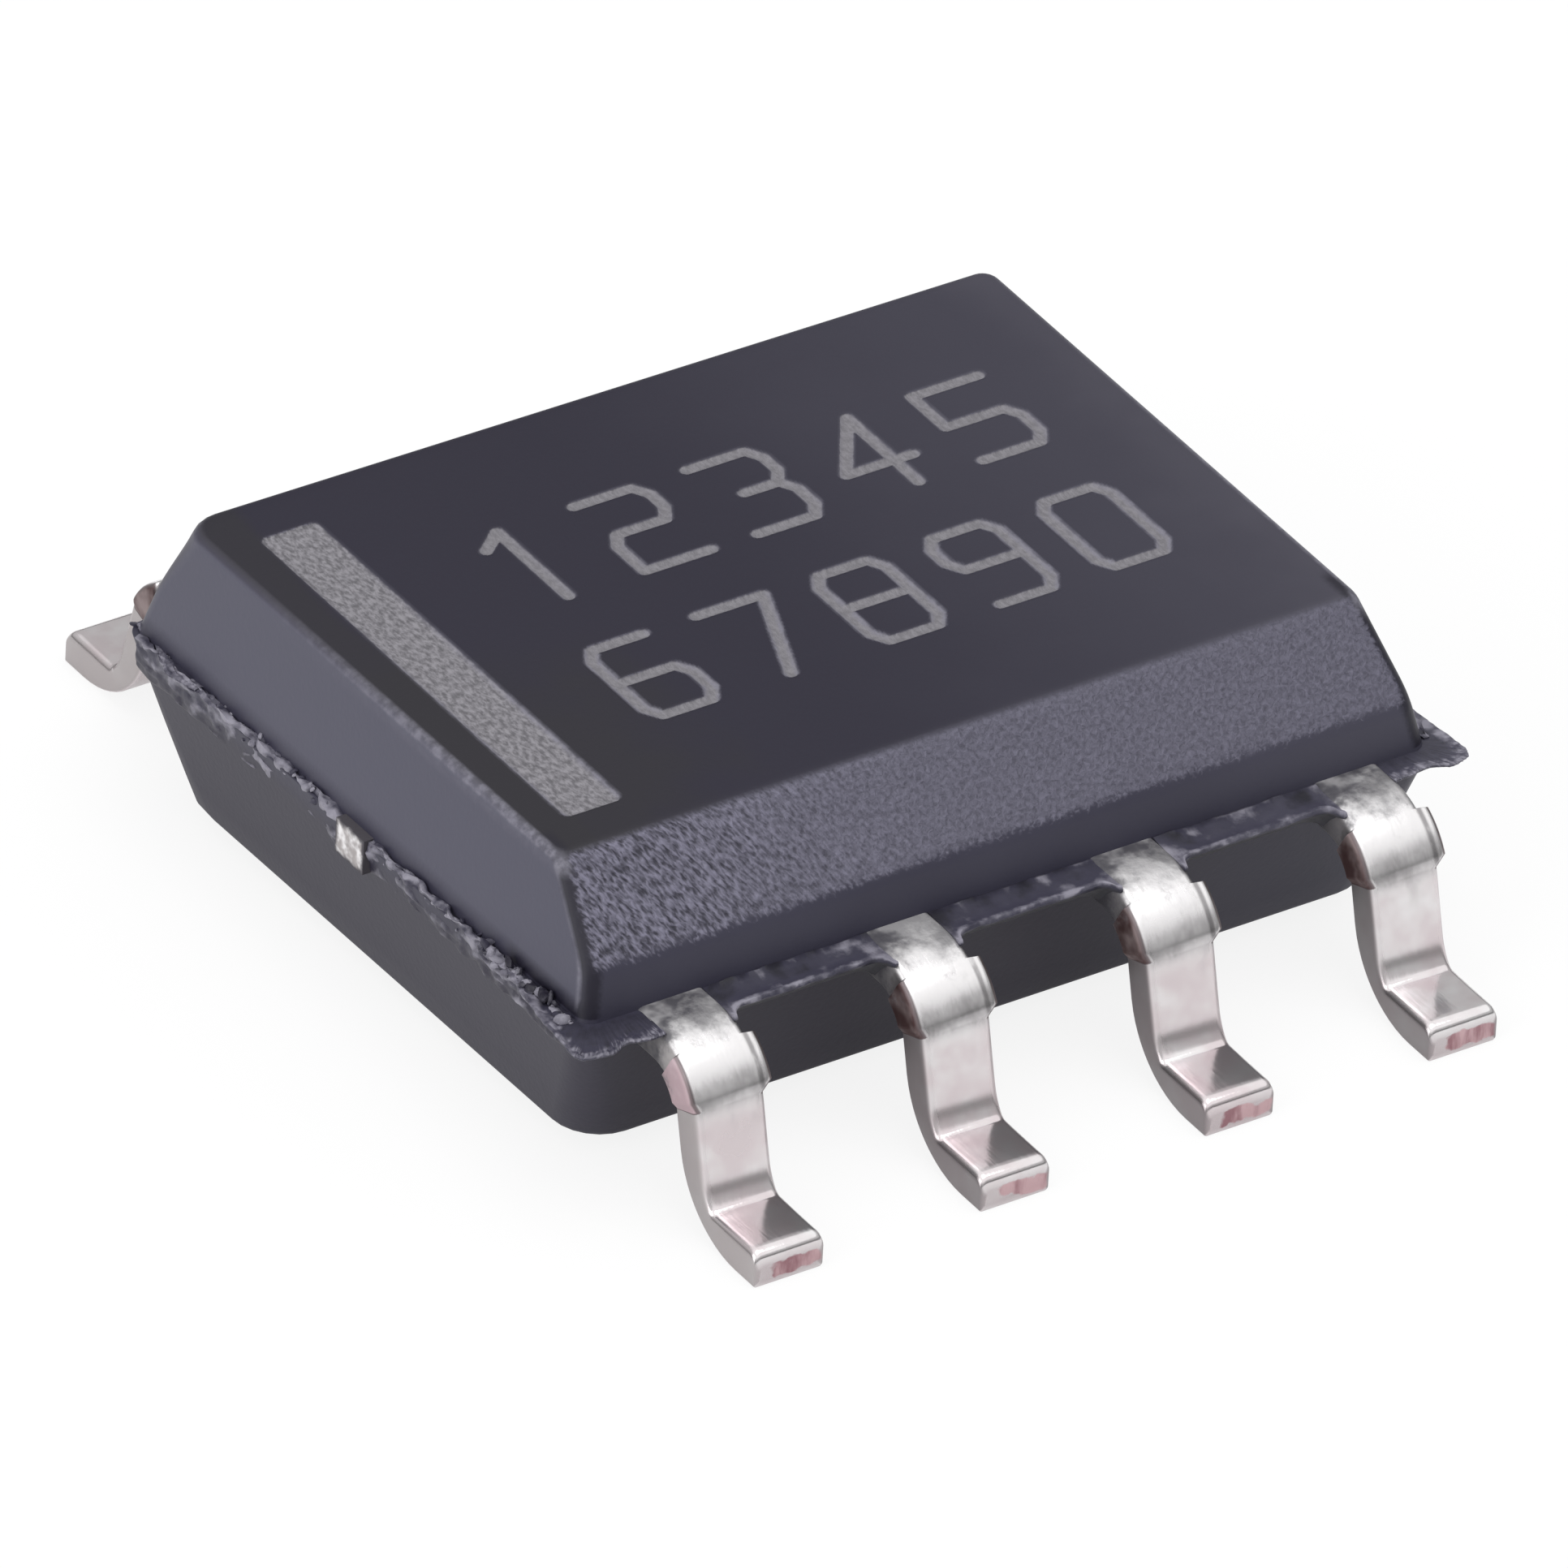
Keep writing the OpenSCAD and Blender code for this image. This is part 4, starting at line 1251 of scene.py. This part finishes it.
# %% [markdown]
# ## What the resin hides
#
# The die pad, the paste, the die and the wires keep the shapes of the solid model, so only their
# finishes are made here. The pad's two tie bars end in a bright sheared face at the end walls, and
# that is the one spot where the inside shows.

# %% Finishes of the inner pieces
def make_pad_metal():
    material, tree, shader, place = surface("pad_copper")
    x, y, z = axes(tree, place)
    reach = abs(x)
    outside = tree.ramp_up(reach, tie_end - 0.12, tie_end - 0.08)
    ragged = (noise(tree, place, 13, 3, 0.6) - 0.5) * 0.06
    bare = (tree.ramp_up(reach, tie_end - 0.012, tie_end - 0.003)
            * tree.ramp_up(abs(y) + ragged, tie_half, tie_half - 0.035)
            * tree.ramp_up(abs(z - frame_mid) + ragged, frame_thk / 2, frame_thk / 2 - 0.035))
    smeared = outside * (1 - bare)
    grain = noise(tree, place, 14, 3, 0.6, stretch=(0.2, 1, 1))
    copper = tree.mix_colours(grain, (0.55, 0.25, 0.16), (0.75, 0.4, 0.28))
    bright = tree.mix_colours(tree.ramp_up(noise(tree, place, 16, 2), 0.35, 0.65), (0.42, 0.39, 0.39),
                              (0.93, 0.91, 0.92))
    colour = tree.coats(copper, (outside, bright), (smeared, (0.07, 0.064, 0.075)))
    connect(tree, colour, shader, "Base Color")
    connect(tree, 0.3 + grain * 0.15 + smeared * 0.3, shader, "Roughness")
    connect(tree, 1 - smeared * 0.7, shader, "Metallic")
    emboss(tree, shader, grain, 0.004)
    return material


def make_paste():
    material, tree, shader, place = surface("silver_paste")
    flakes = tree.node("ShaderNodeTexVoronoi", None, {"Vector": place, "Scale": 26.0}, out="Color")
    split = tree.node("ShaderNodeSeparateXYZ", None, {0: flakes})
    connect(tree, tree.mix_colours(split, (0.5, 0.5, 0.48), (0.8, 0.8, 0.78)), shader, "Base Color")
    connect(tree, 0.45 + split * 0.25, shader, "Roughness")
    shader.inputs["Metallic"].default_value = 0.6
    return material


def make_silicon():
    material, tree, shader, place = surface("silicon")
    blocks = tree.node("ShaderNodeTexBrick", None, {
        "Vector": place, "Scale": 5.0, "Mortar Size": 0.03, "Color1": (0.16, 0.2, 0.3, 1),
        "Color2": (0.3, 0.26, 0.38, 1), "Mortar": (0.5, 0.52, 0.5, 1)})
    connect(tree, blocks, shader, "Base Color")
    connect(tree, 0.12 + noise(tree, place, 8) * 0.1, shader, "Roughness")
    shader.inputs["Metallic"].default_value = 0.5
    return material


def make_gold():
    material, tree, shader, place = surface("gold_wire")
    drawn = noise(tree, place, 30, 2)
    connect(tree, tree.mix_colours(drawn, (0.9, 0.62, 0.22), (1.0, 0.78, 0.38)), shader, "Base Color")
    connect(tree, 0.2 + drawn * 0.1, shader, "Roughness")
    shader.inputs["Metallic"].default_value = 1
    return material


def give_material(node, material):
    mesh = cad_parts[node].data
    mesh.materials.clear()
    mesh.materials.append(material)


give_material("die_pad", make_pad_metal())
give_material("die_attach", make_paste())
give_material("silicon_die", make_silicon())
gold = make_gold()
for pin in range(1, 9):
    give_material(f"bond_wire_{pin}", gold)
print("inner finishes set")

# %% [markdown]
# ## Floor and light
#
# The chip stands on a white table under one large overhead light, with a second light from its
# left, in a room that is dimmer near the horizon. That dim band draws dark lines in the bent tin,
# and the tin's colour adds a painted dark band below the shoulder.

# %% Table
def make_floor():
    half = 0.6
    bm = bmesh.new()
    bm.faces.new([bm.verts.new(p) for p in ((-half, -half, 0), (half, -half, 0), (half, half, 0),
                                            (-half, half, 0))])
    floor = object_from(bm, "table")
    material = bpy.data.materials.new("table")
    material.use_nodes = True
    tree = Tree(material.node_tree)
    material.node_tree.nodes.clear()
    seen = sum((tree.node("ShaderNodeLightPath", out=f"Is {kind} Ray") * share
                for kind, share in (("Camera", 1), ("Glossy", 0.5), ("Transmission", 1))), 0)
    paint = tree.node("ShaderNodeBsdfDiffuse", None, {"Color": (0.88, 0.88, 0.88, 1)})
    glow = tree.node("ShaderNodeEmission", None, {"Color": (1, 1, 1, 1), "Strength": 1.0})
    both = tree.node("ShaderNodeMixShader", None, {0: seen * 0.86, 1: paint, 2: glow})
    tree.node("ShaderNodeOutputMaterial", None, {"Surface": both})
    floor.data.materials.append(material)
    return floor


floor = make_floor()
print("table ready")

# %% Lights
def area_light(name, place, size, power, aim=(0, 0, 0.001)):
    data = bpy.data.lights.new(name, "AREA")
    data.shape, data.size, data.energy = "SQUARE", size, power
    lamp = bpy.data.objects.new(name, data)
    lamp.location = place
    lamp.rotation_euler = (Vector(aim) - Vector(place)).to_track_quat("-Z", "Y").to_euler()
    scene.collection.objects.link(lamp)
    return lamp


area_light("overhead", (0.02, -0.06, 0.4), 0.26, 0.42)
area_light("left_window", (-0.34, -0.04, 0.14), 0.26, 0.55)


def make_room():
    world = bpy.data.worlds.new("room")
    scene.world = world
    world.use_nodes = True
    world.node_tree.nodes.clear()
    tree = Tree(world.node_tree)
    direction = tree.node("ShaderNodeTexCoord", out="Generated")
    towards_back = tree.node("ShaderNodeSeparateXYZ", None, {0: direction}, out="Y")
    height = tree.node("ShaderNodeSeparateXYZ", None, {0: direction}, out="Z")
    sky = height - towards_back * 0.15
    level = 0.13 + tree.ramp_up(height, 0.2, 0.3) * 0.38 + tree.ramp_up(sky, 0.56, 0.68) * 0.65
    back = tree.node("ShaderNodeBackground", None, {"Color": (1, 1, 1, 1), "Strength": level})
    tree.node("ShaderNodeOutputWorld", None, {"Surface": back})


make_room()

# %% [markdown]
# ## Hand the pieces to the frame
#
# Nothing moves on a chip, so every piece rides on the root. The dressed body and leads stand in for
# their solid nodes.

# %% Ride, replace and finish
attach(body_piece, "root")
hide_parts("mould_body")
for pin, lead in enumerate(leads, start=1):
    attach(lead, "root")
    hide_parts(f"lead_{pin}")
